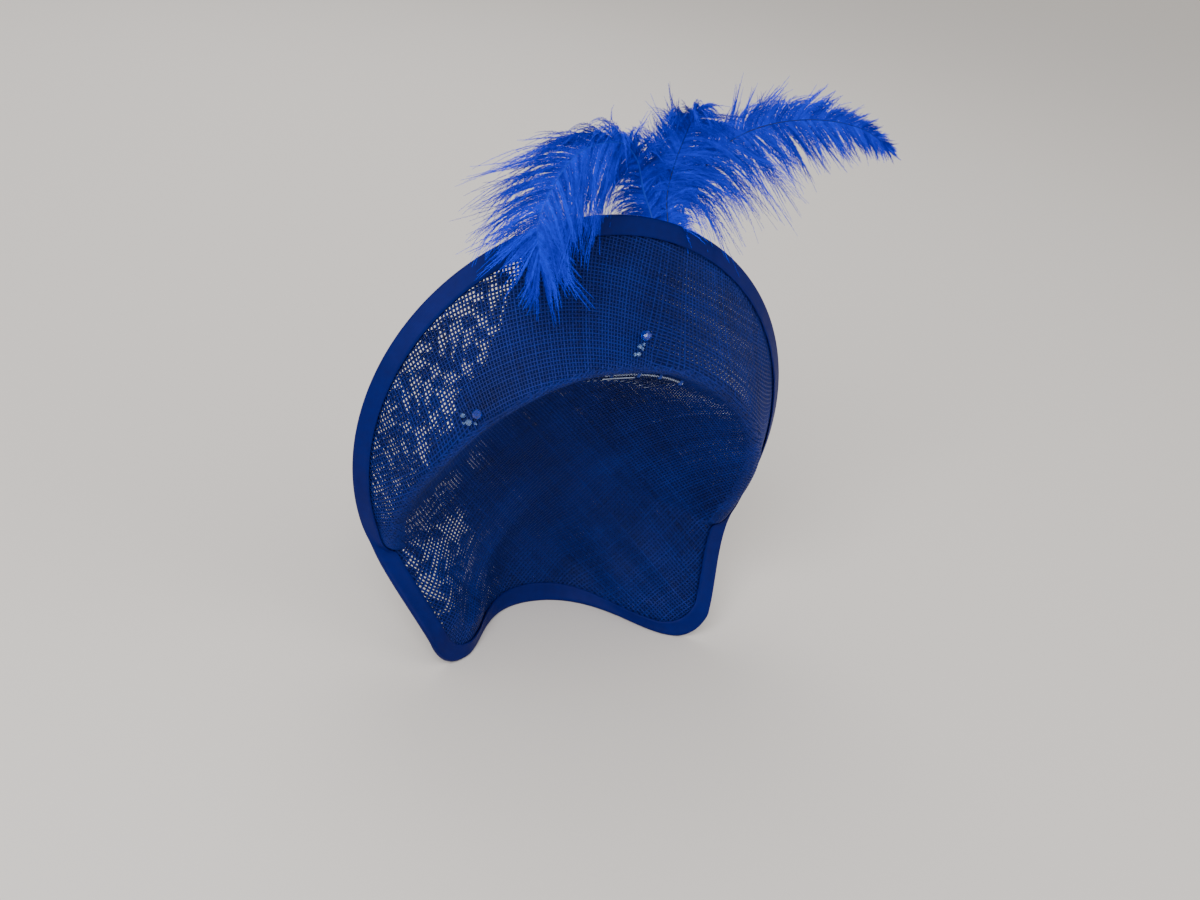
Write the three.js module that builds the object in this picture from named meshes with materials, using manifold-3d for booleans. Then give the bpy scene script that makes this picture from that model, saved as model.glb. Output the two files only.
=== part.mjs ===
// Fascinator: one blocked sheet of open straw mesh with a round upturned brim, a rolled fold at its foot
// and a shallow crown behind it, bound all round with folded ribbon. It carries a wire comb, two small
// groups of cut beads and three ostrich plumes. It stands on its lower edge with its front facing -Y.
// Millimetres, +Z up, origin on the surface it stands on, where the middle of the nape's edge rests.

import * as THREE from 'three';
import { mergeVertices } from 'three/addons/utils/BufferGeometryUtils.js';
import Module from 'manifold-3d';

const wasm = await Module();
wasm.setup();

// Rim and edge
const rimRadius = 126;
const rimArc = THREE.MathUtils.degToRad(112);
const rimHeight = 117;
const sideEase = 30;
const tipAcross = 84.5;
const tipRise = 14;
const tipForward = 42;
const tipRound = 20;
const napeBack = 10;

// Shares that shape the lower edge: the first two of sideEase, the next five of tipRound and the last
// of tipAcross
const sideEndEase = 0.83;
const SIDE_END_WAY = [-0.43, -0.59, -0.69];
const tipEndBack = 0.22;
const tipCornerIn = 0.36;
const tipCornerOut = 0.1;
const napeStartIn = 0.8;
const napeStartBack = 0.4;
const napeEndEase = 0.45;

// Fold and crown
const foldRise = 61;
const foldAcross = 105;
const foldForward = 53;
const foldRoll = 7;
const foldRollLeast = 0.5;
const plainBrimLeast = 1;
const crownBack = 20;
const crownDrop = 34;
const brimHollow = 4;
const sheetWall = 1.5;

// Ribbon over the edge
const bindingWidth = 10;
const bindingWall = 0.8;
const bindingReach = 16;
const bindingRound = 0.55;
const edgeLift = 0.7;

// Comb
const combWidth = 52;
const combOffset = 15;
const combTeeth = 10;
const combToothLength = 30;
const combSpineRadius = 1.1;
const combToothRadius = 0.6;
const combSetBack = 9;
const combSpineSides = 8;
const combToothSides = 5;
const combToothSteps = 6;

// Beads. The outline of a cut bead from one end to the other, as shares of its radius.
const beadHole = 0.8;
const BEAD_SIDES = 10;
const BEAD_OUTLINE = [
  { reach: 0.62, height: -0.80 },
  { reach: 1.00, height: -0.30 },
  { reach: 1.00, height: 0.30 },
  { reach: 0.62, height: 0.80 },
];
const beadEnd = 0.86;

// Plumes
const plumeReach = 100;
const quillRadius = 0.9;
const quillSides = 6;
const quillSteps = 16;
const plumeSeatDepth = 30;
const lockThickness = 2.4;
const lockOverlap = 1.25;
const firstLockSpan = 0.1;

// A lock of barbs: its width along its length, both as shares
const LOCK_OUTLINE = [
  { share: 0.00, width: 1.00 },
  { share: 0.35, width: 1.00 },
  { share: 0.70, width: 0.75 },
];

// The way a barb leaves the quill, mostly sideways and partly along it, and the way its tip sinks
const BARB_SIDE = 0.8;
const BARB_ALONG = 0.6;
const BARB_SINK = [0, -0.5, -0.87];

// Clearance between pieces that are sewn together
const sewnGap = 0.3;

// Half of the edge and fold, from the crest round to the middle of the nape. "course" counts the
// stretches of the edge: 0 to 1 is the round rim, 1 to 2 the side, 2 to 3 the tip and 3 to 4 the nape.
// "across", "rise" and "forward" place the fold as shares of foldAcross, foldRise and foldForward.
// Below the fold, "turn" is the angle in degrees between straight back and the sheet at its edge. "lean"
// is the angle at which the crown leaves the fold, "shoulder" is how far it keeps that way, as a share of
// its reach, and "flat" how wide its back is, likewise.
const SECTIONS = [
  { course: 0.00, across: 0.000, rise: 1.00, forward: 1.00, lean: 17, shoulder: 0.33, flat: 0.53 },
  { course: 0.18, across: 0.286, rise: 0.95, forward: 1.00, lean: 19, shoulder: 0.33, flat: 0.53 },
  { course: 0.36, across: 0.550, rise: 0.74, forward: 0.97, lean: 23, shoulder: 0.33, flat: 0.53 },
  { course: 0.54, across: 0.762, rise: 0.43, forward: 0.89, lean: 30, shoulder: 0.33, flat: 0.54 },
  { course: 0.71, across: 0.905, rise: 0.05, forward: 0.74, lean: 38, shoulder: 0.32, flat: 0.56 },
  { course: 0.85, across: 0.976, rise: -0.28, forward: 0.57, lean: 45, shoulder: 0.30, flat: 0.58 },
  { course: 0.95, across: 1.000, rise: -0.60, forward: 0.39, lean: 52, shoulder: 0.28, flat: 0.60 },
  { course: 1.12, across: 0.962, rise: -0.97, forward: 0.23, lean: 57, shoulder: 0.24, flat: 0.63 },
  { course: 1.30, turn: 92, lean: 58, shoulder: 0.22, flat: 0.66 },
  { course: 1.50, turn: 80, lean: 58, shoulder: 0.19, flat: 0.70 },
  { course: 1.75, turn: 68, lean: 58, shoulder: 0.15, flat: 0.77 },
  { course: 2.00, turn: 60, lean: 58, shoulder: 0.13, flat: 0.82 },
  { course: 2.50, turn: 58, lean: 57, shoulder: 0.11, flat: 0.88 },
  { course: 3.00, turn: 56, lean: 53, shoulder: 0.12, flat: 0.90 },
  { course: 3.25, turn: 50, lean: 46, shoulder: 0.16, flat: 0.88 },
  { course: 3.50, turn: 45, lean: 42, shoulder: 0.18, flat: 0.82 },
  { course: 3.75, turn: 52, lean: 50, shoulder: 0.22, flat: 0.74 },
  { course: 4.00, turn: 64, lean: 64, shoulder: 0.28, flat: 0.66 },
];
const COURSE_END = 4;

// A small step of the course, for directions round the hat
const COURSE_STEP = 0.01;

// Stations along each stretch of the half edge
const STRETCH_STEPS = [20, 6, 5, 7];

// Shares along each part of a section, counted from the edge to the middle of the crown
const BRIM_STEPS = 3;
const ROLL_STEPS = 3;
const CROWN_STEPS = 8;

const pole = new THREE.Vector3(0, crownBack, rimHeight - crownDrop);

// The round rim, drawn from its crest
class RimArc extends THREE.Curve {
  getPoint(share, target = new THREE.Vector3()) {
    const angle = share * rimArc;
    return target.set(rimRadius * Math.sin(angle), 0, rimHeight + rimRadius * Math.cos(angle));
  }
}

// The four stretches of half the edge: rim, side, rounded tip and nape
function halfEdge() {
  const rim = new RimArc();
  const rimEnd = rim.getPoint(1);
  const rimWay = new THREE.Vector3(Math.cos(rimArc), 0, -Math.sin(rimArc));
  const sideEnd = new THREE.Vector3(tipAcross, -tipForward, edgeLift + tipRise);
  const sideWay = new THREE.Vector3(...SIDE_END_WAY).multiplyScalar(sideEase * sideEndEase);
  const tipPoint = (inward, back) => new THREE.Vector3(
    tipAcross - tipRound * inward, -tipForward + tipRound * back, edgeLift,
  );
  const tipEnd = tipPoint(1, tipEndBack);
  const napeEnd = new THREE.Vector3(0, napeBack, edgeLift);
  return [
    rim,
    new THREE.CubicBezierCurve3(
      rimEnd,
      rimEnd.clone().addScaledVector(rimWay, sideEase),
      sideEnd.clone().sub(sideWay),
      sideEnd,
    ),
    new THREE.QuadraticBezierCurve3(sideEnd, tipPoint(tipCornerIn, -tipCornerOut), tipEnd),
    new THREE.CubicBezierCurve3(
      tipEnd,
      tipPoint(1 + napeStartIn, tipEndBack + napeStartBack),
      napeEnd.clone().add(new THREE.Vector3(tipAcross * napeEndEase, 0, 0)),
      napeEnd,
    ),
  ];
}

const EDGE = halfEdge();

// Edge point for a course from -4 to 4, negative on the left
function edgePoint(course) {
  const way = Math.min(Math.abs(course), COURSE_END);
  const stretch = Math.min(Math.floor(way), EDGE.length - 1);
  const point = EDGE[stretch].getPoint(way - stretch);
  if (course < 0) point.x = -point.x;
  return point;
}

// Direction in which the sheet runs from a point of the edge or fold towards the crown
function crownWay(point, lean) {
  const angle = THREE.MathUtils.degToRad(lean);
  const inward = new THREE.Vector3(-point.x, 0, pole.z - point.z).normalize();
  return inward.multiplyScalar(Math.sin(angle)).add(new THREE.Vector3(0, Math.cos(angle), 0));
}

// One row of the table as a knot: its course, the fold point and the lean
function sectionKnot(row) {
  if (row.across === undefined) {
    const edge = edgePoint(row.course);
    const fold = edge.clone().addScaledVector(crownWay(edge, row.turn), bindingReach);
    return { course: row.course, values: [...fold.toArray(), row.lean, row.shoulder, row.flat] };
  }
  const fold = [row.across * foldAcross, -row.forward * foldForward, rimHeight + row.rise * foldRise];
  return { course: row.course, values: [...fold, row.lean, row.shoulder, row.flat] };
}

// All knots, with two mirrored ones past each end so that the form is smooth through the middle
function sectionKnots() {
  const knots = SECTIONS.map(sectionKnot);
  const mirror = (knot, about) => ({
    course: 2 * about - knot.course,
    values: [-knot.values[0], ...knot.values.slice(1)],
  });
  const last = knots.length - 1;
  return [
    mirror(knots[2], 0), mirror(knots[1], 0), ...knots,
    mirror(knots[last - 1], COURSE_END), mirror(knots[last - 2], COURSE_END),
  ];
}

const KNOTS = sectionKnots();

// Fold point and crown values at a course, by a smooth curve through the knots
function foldAt(course) {
  const way = Math.min(Math.abs(course), COURSE_END);
  let k = 1;
  while (k < KNOTS.length - 3 && KNOTS[k + 1].course < way) k += 1;
  const [before, start, end, after] = [KNOTS[k - 1], KNOTS[k], KNOTS[k + 1], KNOTS[k + 2]];
  const span = end.course - start.course;
  const t = (way - start.course) / span;
  const value = (i) => {
    const slopeStart = (end.values[i] - before.values[i]) / (end.course - before.course);
    const slopeEnd = (after.values[i] - start.values[i]) / (after.course - start.course);
    return start.values[i] * (2 * t ** 3 - 3 * t ** 2 + 1) + end.values[i] * (3 * t ** 2 - 2 * t ** 3)
      + span * (slopeStart * (t ** 3 - 2 * t ** 2 + t) + slopeEnd * (t ** 3 - t ** 2));
  };
  const point = new THREE.Vector3(value(0), value(1), value(2));
  if (course < 0) point.x = -point.x;
  return { point, lean: value(3), shoulder: value(4), flat: value(5) };
}

// The three curves that make up the section of the sheet at a course: brim, roll and crown
function sectionCurves(course) {
  const edge = edgePoint(course);
  const { point: fold, lean, shoulder, flat } = foldAt(course);
  const brimLength = edge.distanceTo(fold);
  const roll = Math.max(Math.min(foldRoll, brimLength - bindingWidth - plainBrimLeast), foldRollLeast);
  const rollStart = fold.clone().lerp(edge, roll / brimLength);
  const way = crownWay(fold, lean);
  const rollEnd = fold.clone().addScaledVector(way, roll);
  const hollow = edge.clone().lerp(rollStart, 0.5);
  hollow.y += brimHollow * brimLength / (rimRadius - foldRise);
  const out = new THREE.Vector3(rollEnd.x, 0, rollEnd.z - pole.z);
  const reach = rollEnd.distanceTo(pole);
  const shoulderPoint = rollEnd.clone().addScaledVector(way, shoulder * reach);
  const flatPoint = pole.clone().addScaledVector(out, flat);
  return {
    brim: new THREE.QuadraticBezierCurve3(edge, hollow, rollStart),
    roll: new THREE.QuadraticBezierCurve3(rollStart, fold, rollEnd),
    crown: new THREE.CubicBezierCurve3(rollEnd, shoulderPoint, flatPoint, pole.clone()),
    brimLength: brimLength - roll,
  };
}

// Points of one section, from the edge to the pole. The second point is where the ribbon ends.
function sectionPoints(course) {
  const { brim, roll, crown, brimLength } = sectionCurves(course);
  const bound = bindingWidth / brimLength;
  const points = [brim.getPoint(0), brim.getPoint(bound)];
  for (let k = 1; k <= BRIM_STEPS; k += 1) {
    points.push(brim.getPoint(bound + (1 - bound) * k / BRIM_STEPS));
  }
  for (let k = 1; k <= ROLL_STEPS; k += 1) points.push(roll.getPoint(k / ROLL_STEPS));
  for (let k = 1; k <= CROWN_STEPS; k += 1) points.push(crown.getPoint(k / CROWN_STEPS));
  return points;
}

// Courses of all stations round the hat, starting at the crest and running over the right side
function stationCourses() {
  const half = [0];
  STRETCH_STEPS.forEach((steps, stretch) => {
    for (let k = 1; k <= steps; k += 1) half.push(stretch + k / steps);
  });
  const left = half.slice(1, -1).reverse().map((course) => -course);
  return [...half, ...left];
}

// The middle surface of the sheet and its normals towards the front
function sheetGrid(courses) {
  const points = courses.map(sectionPoints);
  const count = courses.length;
  const last = points[0].length - 1;
  const normals = points.map((column, i) => column.map((_, j) => {
    if (j === last) return new THREE.Vector3(0, -1, 0);
    const round = points[(i + 1) % count][j].clone().sub(points[(i + count - 1) % count][j]);
    const along = column[j + 1].clone().sub(column[Math.max(j - 1, 0)]);
    return round.cross(along).normalize().negate();
  }));
  return { points, normals };
}

const GRID = sheetGrid(stationCourses());

// True for the stations on the right half, whose quads are split as the mirror of the left ones
function isRight(i) {
  return i < GRID.points.length / 2;
}

function meshGeometry(vertices, triangles) {
  const geometry = new THREE.BufferGeometry();
  const numbers = vertices.flatMap((v) => v.toArray());
  geometry.setAttribute('position', new THREE.Float32BufferAttribute(numbers, 3));
  geometry.setIndex(triangles.flat());
  return geometry;
}

// A closed solid from rings of points that go round a loop. Each ring runs the same way round. The
// quads for which crossed(ring, side) holds are split along their other diagonal.
function closedTube(rings, crossed) {
  const size = rings[0].length;
  const triangles = [];
  rings.forEach((_, i) => {
    const next = (i + 1) % rings.length;
    for (let k = 0; k < size; k += 1) {
      const step = (k + 1) % size;
      const [a, b, c, d] = [i * size + k, i * size + step, next * size + step, next * size + k];
      if (crossed(i, k)) triangles.push([a, d, b], [b, d, c]);
      else triangles.push([a, c, b], [a, d, c]);
    }
  });
  return meshGeometry(rings.flat(), triangles);
}

// The blocked sheet: front and back surface joined along the edge
function blockedShell() {
  const { points, normals } = GRID;
  const count = points.length;
  const last = points[0].length - 1;
  const vertices = [];
  const triangles = [];
  for (const side of [1, -1]) {
    points.forEach((column, i) => column.slice(0, last).forEach((point, j) => {
      vertices.push(point.clone().addScaledVector(normals[i][j], side * sheetWall / 2));
    }));
  }
  const poleIndex = vertices.length;
  for (const side of [1, -1]) {
    vertices.push(pole.clone().addScaledVector(normals[0][last], side * sheetWall / 2));
  }
  const face = (side, corners) => triangles.push(side > 0 ? corners : corners.slice().reverse());
  for (const [layer, side] of [1, -1].entries()) {
    const index = (i, j) => layer * count * last + (i % count) * last + j;
    for (let i = 0; i < count; i += 1) {
      for (let j = 0; j < last - 1; j += 1) {
        const [a, b, c, d] = [index(i, j), index(i, j + 1), index(i + 1, j + 1), index(i + 1, j)];
        if (isRight(i)) {
          face(side, [a, b, d]);
          face(side, [b, c, d]);
        } else {
          face(side, [a, b, c]);
          face(side, [a, c, d]);
        }
      }
      face(side, [index(i, last - 1), poleIndex + layer, index(i + 1, last - 1)]);
    }
  }
  const back = count * last;
  for (let i = 0; i < count; i += 1) {
    const [a, b] = [i * last, ((i + 1) % count) * last];
    triangles.push([a, b, back + b], [a, back + b, back + a]);
  }
  return meshGeometry(vertices, triangles);
}

// Geometry to solid and back
function toSolid(geometry) {
  const bare = new THREE.BufferGeometry();
  bare.setAttribute('position', geometry.getAttribute('position').clone());
  if (geometry.index) bare.setIndex(geometry.index.clone());
  const merged = mergeVertices(bare, 1e-4);
  return new wasm.Manifold(new wasm.Mesh({
    numProp: 3,
    vertProperties: new Float32Array(merged.getAttribute('position').array),
    triVerts: new Uint32Array(merged.index.array),
  }));
}

function toGeometry(solid) {
  const mesh = solid.getMesh();
  const geometry = new THREE.BufferGeometry();
  geometry.setAttribute('position', new THREE.Float32BufferAttribute(mesh.vertProperties, 3));
  geometry.setIndex(Array.from(mesh.triVerts));
  return geometry;
}

// The ribbon, folded over the edge. Its underside is cut flat where the hat stands.
function edgeBinding() {
  const { points, normals } = GRID;
  const inner = sheetWall / 2 + sewnGap;
  const outer = inner + bindingWall;
  const rings = points.map((column, i) => {
    const [edge, bound] = column;
    const [edgeNormal, boundNormal] = normals[i];
    const into = bound.clone().sub(edge).normalize();
    const at = (point, normal, off, depth) => point.clone().addScaledVector(normal, off)
      .addScaledVector(into, depth);
    return [
      at(bound, boundNormal, outer, 0),
      at(edge, edgeNormal, outer, 0),
      at(edge, edgeNormal, outer * bindingRound, -sewnGap - bindingWall),
      at(edge, edgeNormal, -outer * bindingRound, -sewnGap - bindingWall),
      at(edge, edgeNormal, -outer, 0),
      at(bound, boundNormal, -outer, 0),
      at(bound, boundNormal, -inner, 0),
      at(edge, edgeNormal, -inner, -sewnGap),
      at(edge, edgeNormal, inner, -sewnGap),
      at(bound, boundNormal, inner, 0),
    ];
  });
  const towardsEdge = [0, 6];
  const crossed = (i, k) => towardsEdge.includes(k) !== isRight(i);
  const below = new THREE.BoxGeometry(4 * rimRadius, 4 * rimRadius, rimRadius);
  below.translate(0, 0, -rimRadius / 2);
  return toGeometry(toSolid(closedTube(rings, crossed)).subtract(toSolid(below)));
}

// A round wire along a curve
function wire(curve, radius, steps, sides) {
  const circle = new THREE.EllipseCurve(0, 0, radius, radius).getPoints(sides);
  const section = new THREE.Shape(circle.slice(0, sides));
  return toSolid(new THREE.ExtrudeGeometry(section, { extrudePath: curve, steps, bevelEnabled: false }));
}

// A point on the inside of the crown, at a distance behind the fold and a height off the sheet
function insideCrown(course, distance, off) {
  const { crown } = sectionCurves(course);
  const share = distance / crown.getLength();
  const point = crown.getPointAt(share);
  const along = crown.getTangentAt(share);
  const ahead = sectionCurves(course + COURSE_STEP).crown.getPointAt(share);
  const behind = sectionCurves(course - COURSE_STEP).crown.getPointAt(share);
  const normal = ahead.sub(behind).cross(along).normalize().negate();
  return point.addScaledVector(normal, sheetWall / 2 + off);
}

// The comb: a spine under the front of the crown, and teeth that run back along the crown
function wireComb() {
  const courseOf = (x) => SECTIONS[1].course * x / (SECTIONS[1].across * foldAcross);
  const spinePoints = [];
  for (let k = 0; k <= combTeeth; k += 1) {
    const x = combOffset + combWidth * (k / combTeeth - 0.5);
    spinePoints.push(insideCrown(courseOf(x), combSetBack, sewnGap + combSpineRadius));
  }
  const spine = new THREE.CatmullRomCurve3(spinePoints);
  let comb = wire(spine, combSpineRadius, combTeeth * 2, combSpineSides);
  for (let k = 0; k < combTeeth; k += 1) {
    const x = combOffset + combWidth * ((k + 0.5) / combTeeth - 0.5);
    const lift = sewnGap + combSpineRadius;
    const points = [0, 1 / 3, 2 / 3, 1].map((share) => insideCrown(
      courseOf(x), combSetBack + share * combToothLength, lift + share * combSpineRadius,
    ));
    const tooth = new THREE.CatmullRomCurve3(points);
    comb = comb.add(wire(tooth, combToothRadius, combToothSteps, combToothSides));
  }
  return toGeometry(comb);
}

// The front of the brim at a course and a distance from the edge: point and normal
function brimFace(course, distance) {
  const at = (way) => {
    const { brim, brimLength } = sectionCurves(way);
    return { point: brim.getPoint(distance / brimLength), along: brim.getTangent(distance / brimLength) };
  };
  const { point, along } = at(course);
  const round = at(course + COURSE_STEP).point.sub(at(course - COURSE_STEP).point);
  return { point, round: round.clone().normalize(), normal: round.cross(along).normalize().negate(), along };
}

// Beads by group. "course" and "inward" give the place on the brim, "inward" as a share of the way from
// the edge to the fold's roll. "size" is in mm.
const BEADS = [
  { name: 'bead_left_blue', course: -0.500, inward: 0.970, size: 5.2 },
  { name: 'bead_left_clear_large', course: -0.534, inward: 0.981, size: 3.4 },
  { name: 'bead_left_clear_small', course: -0.536, inward: 0.907, size: 2.6 },
  { name: 'bead_centre_blue', course: 0.036, inward: 0.847, size: 5.5 },
  { name: 'bead_centre_clear_upper', course: 0.016, inward: 0.914, size: 2.4 },
  { name: 'bead_centre_clear_lower', course: 0.008, inward: 0.963, size: 2.4 },
];

// A cut bead with its thread hole, lying on the front of the brim
function cutBead(row) {
  const radius = row.size / 2;
  const hole = beadHole / 2;
  const ends = [-beadEnd, beadEnd].map((height) => new THREE.Vector2(hole, height * radius));
  const outline = BEAD_OUTLINE.map(
    ({ reach, height }) => new THREE.Vector2(reach, height).multiplyScalar(radius),
  );
  const geometry = new THREE.LatheGeometry([ends[0], ...outline, ends[1], ends[0]], BEAD_SIDES);
  const { brimLength } = sectionCurves(row.course);
  const { point, round, normal } = brimFace(row.course, row.inward * brimLength);
  const centre = point.addScaledVector(normal, sheetWall / 2 + sewnGap + radius);
  const across = round.clone().cross(normal).normalize();
  const axes = new THREE.Matrix4().makeBasis(across, round, normal.clone());
  geometry.applyMatrix4(axes.setPosition(centre));
  return geometry;
}

// Plumes. "course" is where the quill is sewn behind the rim. "way" holds the chosen points of the
// quill past the rim, counted from the point where it passes the rim. "face" is the way the flat of the
// plume looks. Each row of "locks" is a pair of barb locks: its place as a share of the quill, then for
// the lock on either side, with the flat facing and the quill growing up, its length and how far its tip
// sinks as a share of that length. The points of the way and the lengths are shares of plumeReach.
const PLUMES = [
  {
    name: 'plume_left',
    course: 0.10,
    way: [
      { across: -0.05, back: 0.07, up: 0.14 },
      { across: -0.16, back: 0.02, up: 0.34 },
      { across: -0.34, back: -0.08, up: 0.46 },
      { across: -0.58, back: -0.16, up: 0.43 },
      { across: -0.74, back: -0.26, up: 0.30 },
      { across: -0.83, back: -0.34, up: 0.12 },
      { across: -0.81, back: -0.39, up: -0.06 },
    ],
    face: [-0.3, -0.87, 0.4],
    locks: [
      { at: 0.30, left: 0.28, leftSink: 0.8, right: 0.26, rightSink: 0.8 },
      { at: 0.40, left: 0.34, leftSink: 0.8, right: 0.28, rightSink: 1.0 },
      { at: 0.50, left: 0.37, leftSink: 0.8, right: 0.34, rightSink: 0.8 },
      { at: 0.60, left: 0.39, leftSink: 0.6, right: 0.44, rightSink: 0.6 },
      { at: 0.70, left: 0.40, leftSink: 0.4, right: 0.52, rightSink: 0.4 },
      { at: 0.79, left: 0.34, leftSink: 0.3, right: 0.48, rightSink: 0.3 },
      { at: 0.88, left: 0.30, leftSink: 0.2, right: 0.34, rightSink: 0.1 },
      { at: 0.96, left: 0.27, leftSink: 0.2, right: 0.22, rightSink: 0.1 },
    ],
  },
  {
    name: 'plume_centre',
    course: 0.14,
    way: [
      { across: 0.01, back: 0.09, up: 0.14 },
      { across: 0.05, back: 0.14, up: 0.32 },
      { across: 0.09, back: 0.15, up: 0.48 },
      { across: 0.09, back: 0.11, up: 0.60 },
    ],
    face: [-0.3, -0.87, 0.4],
    locks: [
      { at: 0.36, left: 0.20, leftSink: 0.8, right: 0.20, rightSink: 0.9 },
      { at: 0.47, left: 0.28, leftSink: 0.7, right: 0.26, rightSink: 0.8 },
      { at: 0.59, left: 0.34, leftSink: 0.6, right: 0.30, rightSink: 0.7 },
      { at: 0.72, left: 0.34, leftSink: 0.6, right: 0.30, rightSink: 0.6 },
      { at: 0.85, left: 0.34, leftSink: 0.6, right: 0.30, rightSink: 0.6 },
      { at: 0.97, left: 0.27, leftSink: 0.5, right: 0.24, rightSink: 0.5 },
    ],
  },
  {
    name: 'plume_right',
    course: 0.18,
    way: [
      { across: 0.03, back: 0.08, up: 0.12 },
      { across: 0.13, back: 0.14, up: 0.29 },
      { across: 0.30, back: 0.20, up: 0.44 },
      { across: 0.57, back: 0.25, up: 0.53 },
      { across: 0.90, back: 0.26, up: 0.56 },
      { across: 1.18, back: 0.24, up: 0.52 },
      { across: 1.38, back: 0.22, up: 0.42 },
    ],
    face: [-0.2, -0.87, 0.45],
    locks: [
      { at: 0.28, left: 0.24, leftSink: 0.6, right: 0.20, rightSink: 2.0 },
      { at: 0.37, left: 0.30, leftSink: 0.5, right: 0.26, rightSink: 1.4 },
      { at: 0.46, left: 0.34, leftSink: 0.4, right: 0.30, rightSink: 1.0 },
      { at: 0.56, left: 0.34, leftSink: 0.3, right: 0.28, rightSink: 0.7 },
      { at: 0.66, left: 0.28, leftSink: 0.2, right: 0.25, rightSink: 0.5 },
      { at: 0.76, left: 0.20, leftSink: 0.2, right: 0.21, rightSink: 0.4 },
      { at: 0.86, left: 0.12, leftSink: 0.2, right: 0.16, rightSink: 0.3 },
      { at: 0.95, left: 0.08, leftSink: 0.1, right: 0.11, rightSink: 0.2 },
    ],
  },
];

// The quill's curve: sewn flat behind the brim, past the bound rim, then out along its chosen points
function quillCurve(row) {
  const off = -(sheetWall / 2 + sewnGap + quillRadius);
  const pastBinding = off - sewnGap - bindingWall;
  const behind = (depth, distance) => {
    const { point, normal } = brimFace(row.course, depth);
    return point.addScaledVector(normal, distance);
  };
  const rim = behind(0, pastBinding - sewnGap);
  const points = [
    behind(plumeSeatDepth, off),
    behind(plumeSeatDepth * 0.7, off - sewnGap),
    behind(bindingWidth, pastBinding),
    rim,
    ...row.way.map(({ across, back, up }) => (
      new THREE.Vector3(across, back, up).multiplyScalar(plumeReach).add(rim)
    )),
  ];
  return new THREE.CatmullRomCurve3(points);
}

// A tapering lock of barbs: four-sided rings and a point
function barbLock(root, side, along, face, length, width, sink) {
  const reach = side.clone().multiplyScalar(BARB_SIDE).addScaledVector(along, BARB_ALONG).normalize();
  const at = (share) => root.clone().addScaledVector(reach, length * share)
    .add(new THREE.Vector3(...BARB_SINK).multiplyScalar(length * sink * share * share));
  const cross = face.clone().cross(reach).normalize();
  const vertices = [];
  for (const row of LOCK_OUTLINE) {
    for (const [a, b] of [[1, 0], [0, 1], [-1, 0], [0, -1]]) {
      vertices.push(at(row.share).addScaledVector(cross, a * width * row.width / 2)
        .addScaledVector(face, b * lockThickness * row.width / 2));
    }
  }
  vertices.push(at(1));
  const triangles = [[0, 3, 2], [0, 2, 1]];
  for (let ring = 0; ring < LOCK_OUTLINE.length - 1; ring += 1) {
    for (let k = 0; k < 4; k += 1) {
      const [a, b] = [ring * 4 + k, ring * 4 + (k + 1) % 4];
      triangles.push([a, b, b + 4], [a, b + 4, a + 4]);
    }
  }
  const tip = vertices.length - 1;
  for (let k = 0; k < 4; k += 1) triangles.push([tip - 4 + k, tip - 4 + (k + 1) % 4, tip]);
  let solid = toSolid(meshGeometry(vertices, triangles));
  if (solid.volume() < 0) solid = toSolid(meshGeometry(vertices, triangles.map((t) => t.reverse())));
  return solid;
}

function plume(row) {
  const curve = quillCurve(row);
  const face = new THREE.Vector3(...row.face).normalize();
  const length = curve.getLength();
  let solid = wire(curve, quillRadius, quillSteps, quillSides);
  row.locks.forEach((lock, k) => {
    const previous = k > 0 ? row.locks[k - 1].at : lock.at - firstLockSpan;
    const width = (lock.at - previous) * length * lockOverlap;
    const root = curve.getPointAt(lock.at);
    const along = curve.getTangentAt(lock.at);
    const side = along.clone().cross(face).normalize();
    const left = side.clone().negate();
    const [leftLength, rightLength] = [lock.left * plumeReach, lock.right * plumeReach];
    solid = solid.add(barbLock(root, left, along, face, leftLength, width, lock.leftSink));
    solid = solid.add(barbLock(root, side, along, face, rightLength, width, lock.rightSink));
  });
  return toGeometry(solid);
}

function material(color, roughness, metalness = 0) {
  return new THREE.MeshStandardMaterial({ color, roughness, metalness, flatShading: true });
}

const strawMesh = material('#0c2a78', 0.55);
const ribbon = material('#0b2c8c', 0.45);
const wireMaterial = material('#c9ccd4', 0.3, 1);
const blueGlass = material('#1638c0', 0.1);
const clearGlass = material('#cfe0f4', 0.05);
const plumeMaterial = material('#1636d2', 0.7);

function piece(name, geometry, surface) {
  const mesh = new THREE.Mesh(geometry, surface);
  mesh.name = name;
  return mesh;
}

const group = new THREE.Group();
group.position.y = -napeBack;
group.add(piece('blocked_shell', blockedShell(), strawMesh));
group.add(piece('edge_binding', edgeBinding(), ribbon));
group.add(piece('wire_comb', wireComb(), wireMaterial));
for (const row of BEADS) {
  group.add(piece(row.name, cutBead(row), row.name.includes('blue') ? blueGlass : clearGlass));
}
for (const row of PLUMES) group.add(piece(row.name, plume(row), plumeMaterial));

export default group;
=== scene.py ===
"""Fascinator: the looks of the blocked straw sheet, its ribbon edge, comb, beads and ostrich plumes."""

import math
from functools import partial

import bpy
import numpy as np
from bpy.props import FloatProperty, FloatVectorProperty, IntProperty, PointerProperty
from mathutils import Matrix


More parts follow.
